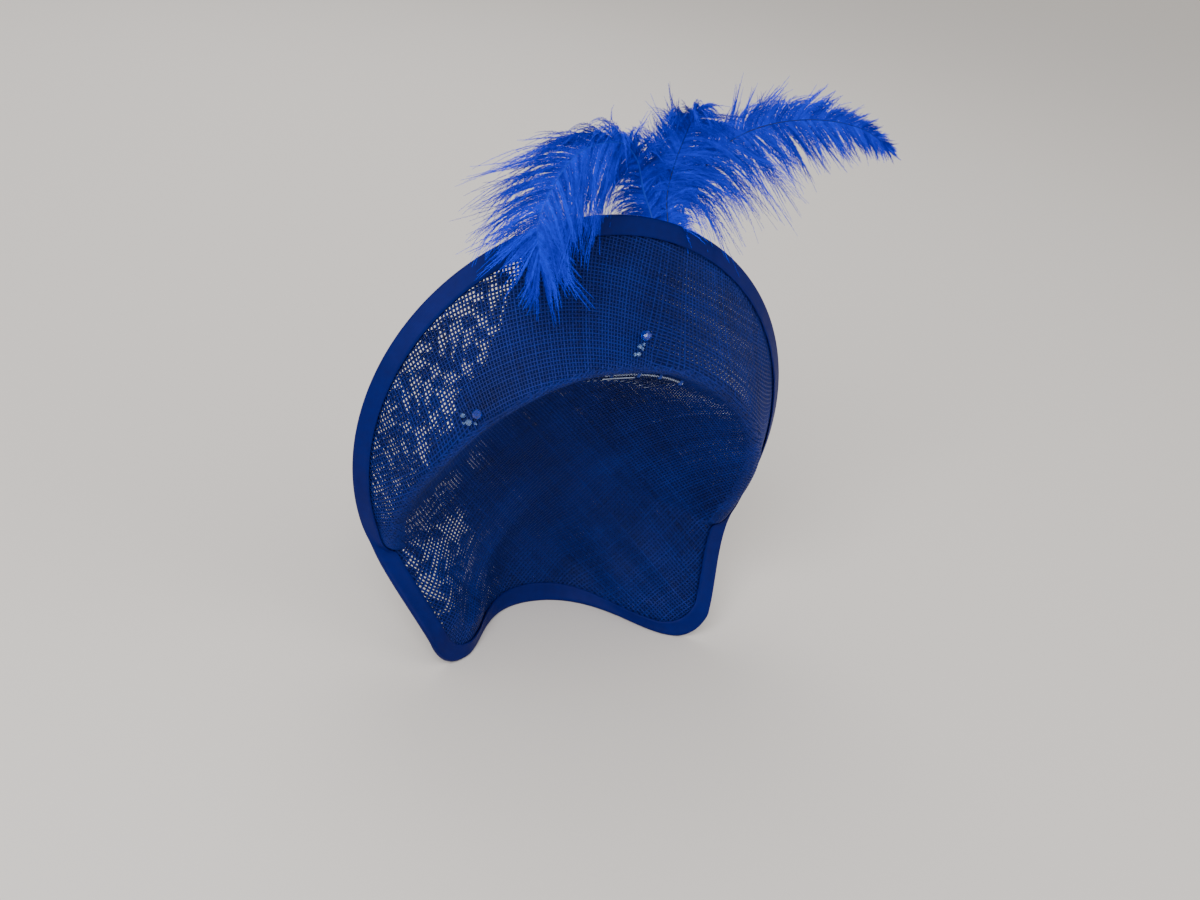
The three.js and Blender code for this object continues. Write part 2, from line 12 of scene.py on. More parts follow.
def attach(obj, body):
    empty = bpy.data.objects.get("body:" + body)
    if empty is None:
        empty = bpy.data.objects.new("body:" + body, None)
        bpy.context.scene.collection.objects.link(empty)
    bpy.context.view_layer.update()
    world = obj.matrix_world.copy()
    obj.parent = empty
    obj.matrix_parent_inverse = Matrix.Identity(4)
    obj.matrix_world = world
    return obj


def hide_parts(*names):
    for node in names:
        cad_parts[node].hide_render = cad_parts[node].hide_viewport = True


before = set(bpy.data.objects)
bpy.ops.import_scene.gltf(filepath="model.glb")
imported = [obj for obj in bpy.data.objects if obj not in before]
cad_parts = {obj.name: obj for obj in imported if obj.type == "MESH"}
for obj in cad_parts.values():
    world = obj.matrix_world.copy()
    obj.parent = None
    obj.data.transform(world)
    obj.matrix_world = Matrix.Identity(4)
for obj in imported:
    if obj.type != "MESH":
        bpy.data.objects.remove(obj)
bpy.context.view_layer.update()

bl_info = {
    "name": "Straw fascinator",
    "version": (1, 0, 0),
    "blender": (4, 5, 0),
    "location": "View3D > Sidebar > Fascinator",
    "description": "Builds a straw fascinator with ribbon edge, comb, beads and ostrich plumes",
    "category": "Add Mesh",
}

MM = 0.001

# The form of the sheet, in mm and degrees, as in the solid model
RIM_RADIUS = 126.0
RIM_ARC = math.radians(112)
RIM_HEIGHT = 117.0
SIDE_EASE = 30.0
TIP_ACROSS = 84.5
TIP_RISE = 14.0
TIP_FORWARD = 42.0
TIP_ROUND = 20.0
NAPE_BACK = 10.0
EDGE_LIFT = 0.7
FOLD_RISE = 61.0
FOLD_ACROSS = 105.0
FOLD_FORWARD = 53.0
FOLD_ROLL = 7.0
CROWN_BACK = 20.0
CROWN_DROP = 34.0
BRIM_HOLLOW = 4.0
SHEET_WALL = 1.5
BINDING_WIDTH = 10.0
BINDING_WALL = 0.8
BINDING_REACH = 16.0
SEWN_GAP = 0.3
COURSE_END = 4.0
POLE = np.array([0.0, CROWN_BACK, RIM_HEIGHT - CROWN_DROP])

# Rows with a fold: course, the fold's place across, up and forward as shares, how far the crown leans
# there in degrees, and its shoulder and flat as shares
FOLD_ROWS = (
    (0.00, 0.000, 1.00, 1.00, 17, 0.33, 0.53),
    (0.18, 0.286, 0.95, 1.00, 19, 0.33, 0.53),
    (0.36, 0.550, 0.74, 0.97, 23, 0.33, 0.53),
    (0.54, 0.762, 0.43, 0.89, 30, 0.33, 0.54),
    (0.71, 0.905, 0.05, 0.74, 38, 0.32, 0.56),
    (0.85, 0.976, -0.28, 0.57, 45, 0.30, 0.58),
    (0.95, 1.000, -0.60, 0.39, 52, 0.28, 0.60),
    (1.12, 0.962, -0.97, 0.23, 57, 0.24, 0.63),
)
# Rows past them: course, how far the sheet turns inward at the edge in degrees, then lean, shoulder and flat
EDGE_ROWS = (
    (1.30, 92, 58, 0.22, 0.66),
    (1.50, 80, 58, 0.19, 0.70),
    (1.75, 68, 58, 0.15, 0.77),
    (2.00, 60, 58, 0.13, 0.82),
    (2.50, 58, 57, 0.11, 0.88),
    (3.00, 56, 53, 0.12, 0.90),
    (3.25, 50, 46, 0.16, 0.88),
    (3.50, 45, 42, 0.18, 0.82),
    (3.75, 52, 50, 0.22, 0.74),
    (4.00, 64, 64, 0.28, 0.66),
)


# Form of the sheet

def unit(vectors):
    """The same directions, one long."""
    return vectors / np.maximum(np.linalg.norm(vectors, axis=-1, keepdims=True), 1e-9)


def way_along(points):
    """How far along its chain each point lies."""
    return np.concatenate([[0], np.cumsum(np.linalg.norm(np.diff(points, axis=0), axis=1))])


def spaced(points, way, places):
    """Points of a chain at other places along it."""
    return np.column_stack([np.interp(places, way, points[:, i]) for i in range(3)])


def hermite(start, end, slope_start, slope_end, t):
    """Point of a smooth curve between two points, from the slopes there."""
    return (start * (2 * t ** 3 - 3 * t ** 2 + 1) + end * (3 * t ** 2 - 2 * t ** 3)
            + slope_start * (t ** 3 - 2 * t ** 2 + t) + slope_end * (t ** 3 - t ** 2))


def bezier(points, share):
    """Point of a Bezier curve, by repeated blending."""
    points = [np.asarray(point, float) for point in points]
    while len(points) > 1:
        points = [a + (b - a) * share for a, b in zip(points, points[1:])]
    return points[0]


def edge_curves():
    """The side, tip and nape stretches of the right half of the edge."""
    rim_end = np.array([RIM_RADIUS * math.sin(RIM_ARC), 0, RIM_HEIGHT + RIM_RADIUS * math.cos(RIM_ARC)])
    rim_way = np.array([math.cos(RIM_ARC), 0, -math.sin(RIM_ARC)])
    side_end = np.array([TIP_ACROSS, -TIP_FORWARD, EDGE_LIFT + TIP_RISE])
    side_way = np.array([-0.43, -0.59, -0.69]) * SIDE_EASE * 0.83

    def tip(inward, back):
        return np.array([TIP_ACROSS - TIP_ROUND * inward, -TIP_FORWARD + TIP_ROUND * back, EDGE_LIFT])

    nape_end = np.array([0, NAPE_BACK, EDGE_LIFT])
    return (
        (rim_end, rim_end + rim_way * SIDE_EASE, side_end - side_way, side_end),
        (side_end, tip(0.36, -0.1), tip(1, 0.22)),
        (tip(1, 0.22), tip(1.8, 0.62), nape_end + [TIP_ACROSS * 0.45, 0, 0], nape_end),
    )


EDGE_CURVES = edge_curves()


def edge_point(course):
    """Point of the edge for a course from -4 to 4, negative on the left of the front."""
    way = min(abs(course), COURSE_END)
    stretch = min(int(way), len(EDGE_CURVES))
    if stretch == 0:
        angle = way * RIM_ARC
        point = np.array([RIM_RADIUS * math.sin(angle), 0, RIM_HEIGHT + RIM_RADIUS * math.cos(angle)])
    else:
        point = bezier(EDGE_CURVES[stretch - 1], way - stretch)
    return point * [math.copysign(1, course), 1, 1]


def crown_way(point, lean):
    """Direction in which the sheet runs towards the crown."""
    angle = math.radians(lean)
    inward = np.array([-point[0], 0, POLE[2] - point[2]])
    return unit(inward) * math.sin(angle) + np.array([0, math.cos(angle), 0])


def fold_knots():
    """Course, fold point and crown values of each row, mirrored past both ends."""
    knots = []
    for course, across, rise, forward, *crown in FOLD_ROWS:
        fold = (across * FOLD_ACROSS, -forward * FOLD_FORWARD, RIM_HEIGHT + rise * FOLD_RISE)
        knots.append((course, *fold, *crown))
    for course, turn, *crown in EDGE_ROWS:
        edge = edge_point(course)
        knots.append((course, *(edge + crown_way(edge, turn) * BINDING_REACH), *crown))
    knots = np.array(knots)
    start = knots[2:0:-1] * [-1, -1, 1, 1, 1, 1, 1]
    end = knots[-2:-4:-1] * [-1, -1, 1, 1, 1, 1, 1] + [2 * COURSE_END, 0, 0, 0, 0, 0, 0]
    return np.vstack([start, knots, end])


KNOTS = fold_knots()


def fold_at(course):
    """Fold point, lean, shoulder and flat at a course, on a smooth curve through the knots."""
    way = min(abs(course), COURSE_END)
    k = min(max(int(np.searchsorted(KNOTS[:, 0], way, side="left")) - 1, 1), len(KNOTS) - 3)
    before, start, end, after = KNOTS[k - 1:k + 3]
    span = end[0] - start[0]
    t = (way - start[0]) / span
    slope_start = (end - before) / (end[0] - before[0])
    slope_end = (after - start) / (after[0] - start[0])
    values = hermite(start, end, span * slope_start, span * slope_end, t)
    point = values[1:4] * [math.copysign(1, course), 1, 1]
    return point, values[4], values[5], values[6]


def section(course, brim_steps=28, roll_steps=12, crown_steps=60):
    """Points of one section from the edge to the pole, and how many of them come before the crown."""
    edge = edge_point(course)
    fold, lean, shoulder, flat = fold_at(course)
    brim_length = np.linalg.norm(edge - fold)
    roll = max(min(FOLD_ROLL, brim_length - BINDING_WIDTH - 1), 0.5)
    roll_start = fold + (edge - fold) * roll / brim_length
    way = crown_way(fold, lean)
    roll_end = fold + way * roll
    hollow = (edge + roll_start) / 2 + [0, BRIM_HOLLOW * brim_length / (RIM_RADIUS - FOLD_RISE), 0]
    out = np.array([roll_end[0], 0, roll_end[2] - POLE[2]])
    reach = np.linalg.norm(roll_end - POLE)
    brim = (edge, hollow, roll_start)
    bend = (roll_start, fold, roll_end)
    crown = (roll_end, roll_end + way * shoulder * reach, POLE + out * flat, POLE)
    points = [bezier(brim, k / brim_steps) for k in range(brim_steps)]
    points += [bezier(bend, k / roll_steps) for k in range(roll_steps)]
    points += [bezier(crown, k / crown_steps) for k in range(crown_steps + 1)]
    return np.array(points), brim_steps, brim_steps + roll_steps


class SheetForm:
    """The middle surface of the sheet, looked up by course and by the way in from the edge, in mm."""

    DEPTHS = 221

    def __init__(self):
        half = np.concatenate([
            np.linspace(0, 1, 150, endpoint=False), np.linspace(1, 2, 50, endpoint=False),
            np.linspace(2, 3, 30, endpoint=False), np.linspace(3, 4, 46),
        ])
        self.courses = np.concatenate([-half[:0:-1], half])
        columns, self.length, self.brim_end, self.crown_start, self.fold_way = [], [], [], [], []
        for course in self.courses:
            points, brim_count, crown_count = section(course)
            way = way_along(points)
            columns.append(spaced(points, way, np.linspace(0, way[-1], self.DEPTHS)))
            self.length.append(way[-1])
            self.brim_end.append(way[brim_count])
            self.crown_start.append(way[crown_count])
            fold = fold_at(course)[0]
            self.fold_way.append(math.atan2(fold[0], fold[2] - POLE[2]))
        self.points = np.array(columns)
        self.length = np.array(self.length)
        self.brim_end = np.array(self.brim_end)
        self.crown_start = np.array(self.crown_start)
        self.fold_way = np.unwrap(np.array(self.fold_way))
        around = np.gradient(self.points, axis=0)
        around[0] = around[-1] = self.points[1, :] - self.points[-2, :]
        along = np.gradient(self.points, axis=1)
        normals = -np.cross(around, along)
        size = np.linalg.norm(normals, axis=2, keepdims=True)
        self.normals = np.where(size > 1e-9, unit(normals), [0, -1, 0])
        self.normals[:, -1] = [0, -1, 0]
        way = way_along(self.points[:, 0])
        self.edge_way = way - np.interp(0, self.courses, way)

    def at(self, course, depth):
        """Points and front normals for arrays of courses and of depths from the edge."""
        course, depth = np.broadcast_arrays(np.asarray(course, float), np.asarray(depth, float))
        place = np.interp(course, self.courses, np.arange(len(self.courses)))
        row = np.clip(place.astype(int), 0, len(self.courses) - 2)
        side = (place - row)[..., None]
        share = depth / np.interp(course, self.courses, self.length) * (self.DEPTHS - 1)
        column = np.clip(share.astype(int), 0, self.DEPTHS - 2)
        down = (share - column)[..., None]
        result = []
        for grid in (self.points, self.normals):
            near = grid[row, column] * (1 - side) + grid[row + 1, column] * side
            far = grid[row, column + 1] * (1 - side) + grid[row + 1, column + 1] * side
            result.append(near * (1 - down) + far * down)
        return result[0], unit(result[1])


FORM = SheetForm()


def in_frame(points):
    """Points of the form, in mm, as metres in the shared frame, none of them below the floor."""
    placed = (np.asarray(points, float) - [0, NAPE_BACK, 0]) * MM
    placed[..., 2] = np.maximum(placed[..., 2], 0)
    return placed


# Meshes and nodes

def line_mesh(name, lines, **values):
    """A mesh of edges only, one chain for each line, with values stored on its points."""
    mesh = bpy.data.meshes.new(name)
    points = np.vstack(lines)
    ends = np.cumsum([len(line) for line in lines])
    joined = np.ones(len(points) - 1, bool)
    joined[ends[:-1] - 1] = False
    starts = np.nonzero(joined)[0]
    mesh.vertices.add(len(points))
    mesh.vertices.foreach_set("co", points.ravel())
    mesh.edges.add(len(starts))
    mesh.edges.foreach_set("vertices", np.column_stack([starts, starts + 1]).ravel())
    for label, arrays in values.items():
        data = np.concatenate(arrays)
        vector = data.ndim == 2
        layer = mesh.attributes.new(label, "FLOAT_VECTOR" if vector else "FLOAT", "POINT")
        layer.data.foreach_set("vector" if vector else "value", data.ravel())
    return mesh


def face_mesh(name, vertices, faces, material, smooth=True):
    """A piece from vertices and faces, with its material."""
    mesh = bpy.data.meshes.new(name)
    mesh.from_pydata(np.asarray(vertices).tolist(), [], faces)
    mesh.materials.append(material)
    mesh.polygons.foreach_set("use_smooth", [smooth] * len(mesh.polygons))
    mesh.update()
    piece = bpy.data.objects.new(name, mesh)
    bpy.context.collection.objects.link(piece)
    return piece


def feed(node, values):
    """Set the inputs of a node, or link them to the outputs of others."""
    for key, value in values.items():
        if isinstance(value, bpy.types.NodeSocket):
            node.id_data.links.new(value, node.inputs[key])
        else:
            node.inputs[key].default_value = value


def add_node(tree, kind, values=None, **choices):
    """A new node of a tree, with its choices made and its inputs fed."""
    node = tree.nodes.new(kind)
    for key, value in choices.items():
        setattr(node, key, value)
    feed(node, values or {})
    return node


def node_tree(name, inputs):
    """A Geometry Nodes tree with named inputs, a function that adds its nodes, and what it is given."""
    tree = bpy.data.node_groups.new(name, "GeometryNodeTree")
    for label, kind, default in (("Geometry", "NodeSocketGeometry", None), *inputs):
        socket = tree.interface.new_socket(label, in_out="INPUT", socket_type=kind)
        if default is not None:
            socket.default_value = default
    tree.interface.new_socket("Geometry", in_out="OUTPUT", socket_type="NodeSocketGeometry")
    add = partial(add_node, tree)
    return tree, add, add("NodeGroupInput").outputs


def end_tree(add, geometry, material):
    """Close a tree: its instances made real, and its material set."""
    whole = add("GeometryNodeRealizeInstances", {"Geometry": geometry})
    dressed = add("GeometryNodeSetMaterial", {"Geometry": whole.outputs[0], "Material": material})
    add("NodeGroupOutput", {"Geometry": dressed.outputs[0]})


def run_nodes(name, source, tree, values):
    """The plain mesh that a tree makes of a source mesh, as a piece."""
    piece = bpy.data.objects.new(name, source)
    bpy.context.collection.objects.link(piece)
    modifier = piece.modifiers.new("Build", "NODES")
    modifier.node_group = tree
    for item in tree.interface.items_tree:
        if item.item_type == "SOCKET" and item.in_out == "INPUT" and item.name in values:
            modifier[item.identifier] = values[item.name]
    graph = bpy.context.evaluated_depsgraph_get()
    mesh = bpy.data.meshes.new_from_object(piece.evaluated_get(graph), preserve_all_data_layers=True,
                                           depsgraph=graph)
    piece.modifiers.remove(modifier)
    piece.data = mesh
    mesh.name = name
    return piece


def sweep(path, radius, sides=8):
    """Vertices and faces of a closed round tube along a path. The radius may vary along it."""
    path = np.asarray(path, float)
    radius = np.broadcast_to(radius, len(path))
    tangent = unit(np.gradient(path, axis=0))
    normal = np.cross(tangent[0], [0.3, 0.5, 0.8])
    vertices = []
    for point, way, size in zip(path, tangent, radius):
        normal = unit(normal - way * np.dot(normal, way))
        other = np.cross(way, normal)
        for k in range(sides):
            angle = 2 * math.pi * k / sides
            vertices.append(point + (normal * math.cos(angle) + other * math.sin(angle)) * size)
    faces = [list(range(sides))[::-1]]
    for i in range(len(path) - 1):
        for k in range(sides):
            a, b = i * sides + k, i * sides + (k + 1) % sides
            faces.append([a, b, b + sides, a + sides])
    faces.append([(len(path) - 1) * sides + k for k in range(sides)])
    return np.array(vertices), faces


def join(parts):
    """Vertices and faces of several parts as one."""
    vertices, faces, count = [], [], 0
    for points, polygons in parts:
        vertices.append(points)
        faces += [[k + count for k in polygon] for polygon in polygons]
        count += len(points)
    return np.vstack(vertices), faces


# Shaders

def dye_group():
    """Colour of dyed fibre: fine streaks between two shades, over slow patches and a given tone."""
    name = "Dyed fibre"
    if name in bpy.data.node_groups:
        return bpy.data.node_groups[name]
    group = bpy.data.node_groups.new(name, "ShaderNodeTree")
    for label, kind, way in (
        ("Position", "NodeSocketVector", "INPUT"), ("Deep", "NodeSocketColor", "INPUT"),
        ("Bright", "NodeSocketColor", "INPUT"), ("Streak Scale", "NodeSocketFloat", "INPUT"),
        ("Patch Scale", "NodeSocketFloat", "INPUT"), ("Tone", "NodeSocketFloat", "INPUT"),
        ("Colour", "NodeSocketColor", "OUTPUT"), ("Streaks", "NodeSocketFloat", "OUTPUT"),
    ):
        group.interface.new_socket(label, in_out=way, socket_type=kind)
    add = partial(add_node, group)
    given = add("NodeGroupInput").outputs
    streak, patch = [
        add("ShaderNodeTexNoise", {"Vector": given["Position"], "Scale": given[scale], "Detail": 3})
        for scale in ("Streak Scale", "Patch Scale")
    ]
    total = add("ShaderNodeMath", {0: streak.outputs["Fac"], 1: 0.6, 2: patch.outputs["Fac"]},
                operation="MULTIPLY_ADD")
    shade = add("ShaderNodeMath", {0: total.outputs[0], 1: 1.2, 2: given["Tone"]}, operation="MULTIPLY_ADD")
    level = add("ShaderNodeMapRange", {"Value": shade.outputs[0], "From Min": 0.9, "From Max": 2.0})
    mix = add("ShaderNodeMix", {"Factor": level.outputs["Result"], 6: given["Deep"], 7: given["Bright"]},
              data_type="RGBA")
    add("NodeGroupOutput", {"Colour": mix.outputs[2], "Streaks": streak.outputs["Fac"]})
    return group


def principled(name, **sockets):
    """A material, a function that adds nodes to it, and its main shader with some inputs set."""
    material = bpy.data.materials.new(name)
    material.use_nodes = True
    shader = material.node_tree.nodes["Principled BSDF"]
    feed(shader, {label.replace("_", " "): value for label, value in sockets.items()})
    return material, partial(add_node, material.node_tree), shader


def fibre_material(name, deep, bright, roughness, streak_scale, patch_scale, tone=None, **sockets):
    """A dyed fibre. tone names a point attribute that lightens or deepens it."""
    material, add, shader = principled(name, Roughness=roughness, **sockets)
    dye = add("ShaderNodeGroup", {
        "Position": add("ShaderNodeTexCoord").outputs["Object"],
        "Deep": (*deep, 1),
        "Bright": (*bright, 1),
        "Streak Scale": streak_scale,
        "Patch Scale": patch_scale,
        "Tone": add("ShaderNodeAttribute", attribute_name=tone).outputs["Fac"] if tone else 0.5,
    }, node_tree=dye_group())
    feed(shader, {"Base Color": dye.outputs["Colour"]})
    return material


def ribbon_material(name, deep, bright):
    """Satin-faced ribbon with fine ribs across it, read from the ribbon's own map."""
    material = fibre_material(name, deep, bright, 0.5, 240, 16, Specular_IOR_Level=0.09)
    add = partial(add_node, material.node_tree)
    place = add("ShaderNodeUVMap", uv_map=RIBBON_MAP)
    ribs = add("ShaderNodeTexWave", {"Vector": place.outputs["UV"], "Scale": 0.42, "Distortion": 0.4},
               wave_profile="SIN")
    relief = add("ShaderNodeBump", {"Strength": 0.35, "Distance": 0.00015, "Height": ribs.outputs["Fac"]})
    feed(material.node_tree.nodes["Principled BSDF"], {"Normal": relief.outputs["Normal"]})
    return material


def glass_material(name, colour):
    """Cut glass with a little cloud inside its colour."""
    material, add, shader = principled(name, Roughness=0.02, IOR=1.52, Transmission_Weight=0.85)
    place = add("ShaderNodeTexCoord").outputs["Object"]
    cloud = add("ShaderNodeTexNoise", {"Vector": place, "Scale": 260})
    cloudy = [value * 0.7 for value in colour]
    mix = add("ShaderNodeMix", {"Factor": cloud.outputs["Fac"], 6: (*cloudy, 1), 7: (*colour, 1)},
              data_type="RGBA")
    feed(shader, {"Base Color": mix.outputs[2]})
    return material


def wire_material(name, colour):
    """Bright drawn wire with faint scratches along it."""
    material, add, shader = principled(name, Base_Color=(*colour, 1), Metallic=1.0)
    place = add("ShaderNodeTexCoord").outputs["Object"]
    scratches = add("ShaderNodeTexNoise", {"Vector": place, "Scale": 900})
    level = add("ShaderNodeMapRange", {"Value": scratches.outputs["Fac"], "To Min": 0.18, "To Max": 0.34})
    feed(shader, {"Roughness": level.outputs["Result"]})
    return material


# Woven sheet

def thread_tree():
    """Flat threads along the chains of a mesh, lying on the sheet that the attribute nrm faces."""
    tree, add, given = node_tree("Woven threads", (
        ("Thread Width", "NodeSocketFloat", 0.0008), ("Thread Thickness", "NodeSocketFloat", 0.0003),
        ("Material", "NodeSocketMaterial", None),
    ))
    curve = add("GeometryNodeMeshToCurve", {"Mesh": given["Geometry"]})
    facing = add("GeometryNodeInputNamedAttribute", {"Name": "nrm"}, data_type="FLOAT_VECTOR")
    turned = add("GeometryNodeSetCurveNormal", {"Curve": curve.outputs[0], "Normal": facing.outputs[0]},
                 mode="FREE")
    ridge = add("GeometryNodeCurvePrimitiveCircle", {"Resolution": 3, "Radius": 1.0})
    deep = add("ShaderNodeMath", {0: given["Thread Thickness"], 1: 1.5}, operation="DIVIDE")
    wide = add("ShaderNodeMath", {0: given["Thread Width"], 1: 3 ** 0.5}, operation="DIVIDE")
    size = add("ShaderNodeCombineXYZ", {"X": deep.outputs[0], "Y": wide.outputs[0], "Z": 1.0})
    profile = add("GeometryNodeTransform", {"Geometry": ridge.outputs[0], "Scale": size.outputs[0]})
    girth = add("GeometryNodeInputNamedAttribute", {"Name": "girth"}, data_type="FLOAT")
    thread = add("GeometryNodeCurveToMesh", {
        "Curve": turned.outputs[0], "Profile Curve": profile.outputs[0], "Scale": girth.outputs[0],
        "Fill Caps": True})
    end_tree(add, thread.outputs[0], given["Material"])
    return tree


# The open part of the brim: course, and how deep from the edge the two layers lie thread on thread
OPEN_PART = ((-1.30, 22), (-0.97, 22), (-0.80, 40), (-0.63, 49), (-0.49, 48), (-0.39, 41), (-0.31, 31),
             (-0.24, 14), (-0.18, 0))
# How far a thread rises at each crossing, how much the threads stray, how far in from the edge they
# end under the ribbon, and the seed of the first layer
CRIMP = 0.12
STRAY = 0.03
BOUND = 2.5
CLOTH_SEED = 11
# The brim's cloth is bent round the rim between these two courses, and runs on straight past them. It
# keeps its length at this radius, and its plan starts this far from the rim's centre.
BENT_FROM, BENT_TO = -0.54, 0.06
BENT_RADIUS = 110.0
PLAN_OUT = 0.75 * RIM_RADIUS
# The cloth is made this far each way in its plan, and is cut by the sheet's edge
BRIM_PLAN, CROWN_PLAN = 380.0, 190.0
CROWN_TURN = math.radians(45)


def smooth_step(value):
    """A smooth rise from 0 to 1."""
    value = np.clip(value, 0, 1)
    return value * value * (3 - 2 * value)


def turned(turn, along, across):
    """A step given along and across the threads, as a step in the plan."""
    cos, sin = math.cos(turn), math.sin(turn)
    return along * cos - across * sin, along * sin + across * cos


def clusters(a, b, along_a, along_b):
    """Uneven spots between -1 and 1 on a plan. Each way has its size, its bend and the bend's size."""
    size_a, bend_a, reach_a = along_a
    size_b, bend_b, reach_b = along_b
    bands = np.sin(a / size_a + bend_a * np.sin(b / reach_a))
    return bands * np.sin(b / size_b + bend_b * np.sin(a / reach_b))


def layer_shift(course, around, depth, pitch):
    """How far the back layer's threads lie from the front layer's, along and across them, and how
    closed the sheet is: the threads lie on each other in clusters where it is open, and half a pitch
    apart where it is closed."""
    courses, depths = zip(*OPEN_PART)
    limit = np.interp(course, courses, depths, right=0) + 4 * np.sin(around / 5.3) * np.sin(depth / 6.1)
    closed = smooth_step((depth - limit) / 9 + 0.5)
    spots = clusters(around, depth, (2.7, 1.6, 4.4), (2.3, 1.8, 5.3))
    grain = clusters(around, depth, (1.3, 1.2, 1.9), (1.1, 0.0, 1.0))
    shut = np.maximum(closed, 0.9 * smooth_step((spots + 0.25 * grain + 0.14) / 0.4))
    loose = 0.12 * (1 - closed) * grain
    return pitch * (0.5 * shut + loose), pitch * (0.5 * shut - loose), closed


def runs(inside):
    """First and last index of each stretch of true values."""
    edges = np.flatnonzero(np.diff(np.concatenate([[0], inside.astype(int), [0]])))
    return zip(edges[::2], edges[1::2] - 1)


def cloth_lines(surface, size, turn, pitch, layer, lift, seed):
    """Threads of one layer of plain weave: straight lines in its flat plan, laid on the sheet, with a
    point at each crossing, where they pass over and under in turn.

    surface gives, for points of the plan, the course, the depth, whether they are inside, and how
    much the threads spread there."""
    rng = np.random.default_rng(seed)
    count = int(size / pitch)
    crossings = np.arange(-count, count + 1)
    lines, normals, tones, girths = [], [], [], []
    for family in (0, 1):
        angle = turn + family * math.pi / 2
        way = np.array([math.cos(angle), math.sin(angle)])
        side = np.array([-way[1], way[0]])
        for k in crossings:
            plan = crossings[:, None] * pitch * way + (k + STRAY * rng.standard_normal()) * pitch * side
            course, depth, inside, spread = surface(plan, layer)
            over = np.where((crossings + k + family) % 2 == 0, 1, -1) * CRIMP
            tone, girth = 0.5 + 0.11 * rng.standard_normal(), rng.uniform(0.92, 1.14)
            for first, last in runs(inside):
                if last - first < 2:
                    continue
                own = slice(first, last + 1)
                points, facing = FORM.at(course[own], depth[own])
                lines.append(in_frame(points + facing * (lift + over[own, None])))
                normals.append(facing)
                tones.append(np.full(len(points), tone))
                girths.append(girth * spread[own])
    return lines, {"nrm": normals, "tone": tones, "girth": girths}


def brim_surface(pitch, turn):
    """The plan of the brim's cloth: the way round the rim and the way out from its centre."""
    first, last = BENT_FROM * RIM_ARC, BENT_TO * RIM_ARC

    def unbend(across, out):
        """Angle and distance from the rim's centre for a point of the plan."""
        before, after = across - first * BENT_RADIUS, across - last * BENT_RADIUS
        angle = across / BENT_RADIUS
        angle = np.where(before < 0, first + np.arctan2(before, out), angle)
        angle = np.where(after > 0, last + np.arctan2(after, out), angle)
        past = np.where(before < 0, before, np.where(after > 0, after, 0))
        return angle, np.where((past == 0) & (out < 0), 0, np.hypot(past, out))

    def surface(plan, layer):
        across, out = plan[:, 0], plan[:, 1] + PLAN_OUT
        angle, distance = unbend(across, out)
        *shift, closed = layer_shift(angle / RIM_ARC, angle * BENT_RADIUS, RIM_RADIUS - distance, pitch)
        if layer:
            aside, outward = turned(turn, *shift)
            angle, distance = unbend(across + aside, out + outward)
        course, depth = angle / RIM_ARC, RIM_RADIUS - distance
        end = np.interp(course, FORM.courses, FORM.crown_start) + 2
        inside = (np.abs(course) < 1.25) & (depth > BOUND) & (depth < end)
        spread = 1.03 + closed * (0.22 + 0.15 * smooth_step((course - 0.15) / 0.4))
        return course, np.clip(depth, 0, None), inside, spread

    return surface


def crown_surface(pitch, turn):
    """The plan of the crown's cloth: laid flat from the pole, as far as the fold or the edge."""
    def surface(plan, layer):
        across, up = plan[:, 0], plan[:, 1]
        course = np.interp(np.arctan2(across, up), FORM.fold_way, FORM.courses)
        spots = clusters(across, up, (2.9, 1.5, 4.3), (2.3, 1.7, 5.1))
        uneven = 0.12 * np.sin(across / 7.3 + up / 9.1) + 0.08 * spots
        # the open part on the left: from the fold to past the tip, and clear of the middle of the crown
        left = (smooth_step((-course - 0.52 + uneven) / 0.4) * smooth_step((course + 2.6 + uneven) / 0.7)
                * smooth_step((np.hypot(across, up) - 38 + 60 * uneven) / 36))
        if layer:
            even = 0.48 * (1 - left) + 0.46 * left * smooth_step((spots + 0.12) / 0.4)
            loose = (0.10 * (1 - left) + 0.04) * spots
            aside, upward = turned(turn, pitch * (even + loose), pitch * (even - loose))
            across, up = across + aside, up + upward
        reach = np.hypot(across, up)
        course = np.interp(np.arctan2(across, up), FORM.fold_way, FORM.courses)
        length = np.interp(course, FORM.courses, FORM.length)
        narrow = np.abs(course) > 1.2
        start = np.where(narrow, BOUND, np.interp(course, FORM.courses, FORM.brim_end) + 2)
        depth = length - reach
        return course, np.clip(depth, 0, None), depth > start, 1.28 - 0.22 * left

    return surface


# Ribbon, comb, beads

# The ribbon's map holds its length in mm, and a step across it for each point of its profile
RIBBON_MAP = "length"
MAP_STEP = 1.6


def ribbon_profile():
    """Points across the folded ribbon, from its inner edge at the front round to the back: how far
    in from the edge, and how far off the sheet's middle, in mm."""
    inner = SHEET_WALL / 2 + SEWN_GAP
    outer = inner + BINDING_WALL
    front = [(BINDING_WIDTH - 0.15, inner + 0.1), (BINDING_WIDTH, (inner + outer) / 2),
             (BINDING_WIDTH - 0.25, outer - 0.05)]
    front += [(depth, outer) for depth in (8, 6, 4, 2)]
    turns = [math.pi * k / 8 for k in range(9)]
    bend = [(-math.sin(turn) * (SEWN_GAP + BINDING_WALL), outer * math.cos(turn)) for turn in turns]
    back = [(depth, -off) for depth, off in reversed(front)]
    inside = [(depth, -inner) for depth in (6, 2)] + [(-SEWN_GAP * 0.6, -inner * 0.6),
                                                      (-SEWN_GAP * 0.6, inner * 0.6)]
    return front + bend + back + inside + [(depth, inner) for depth in (2, 6)]


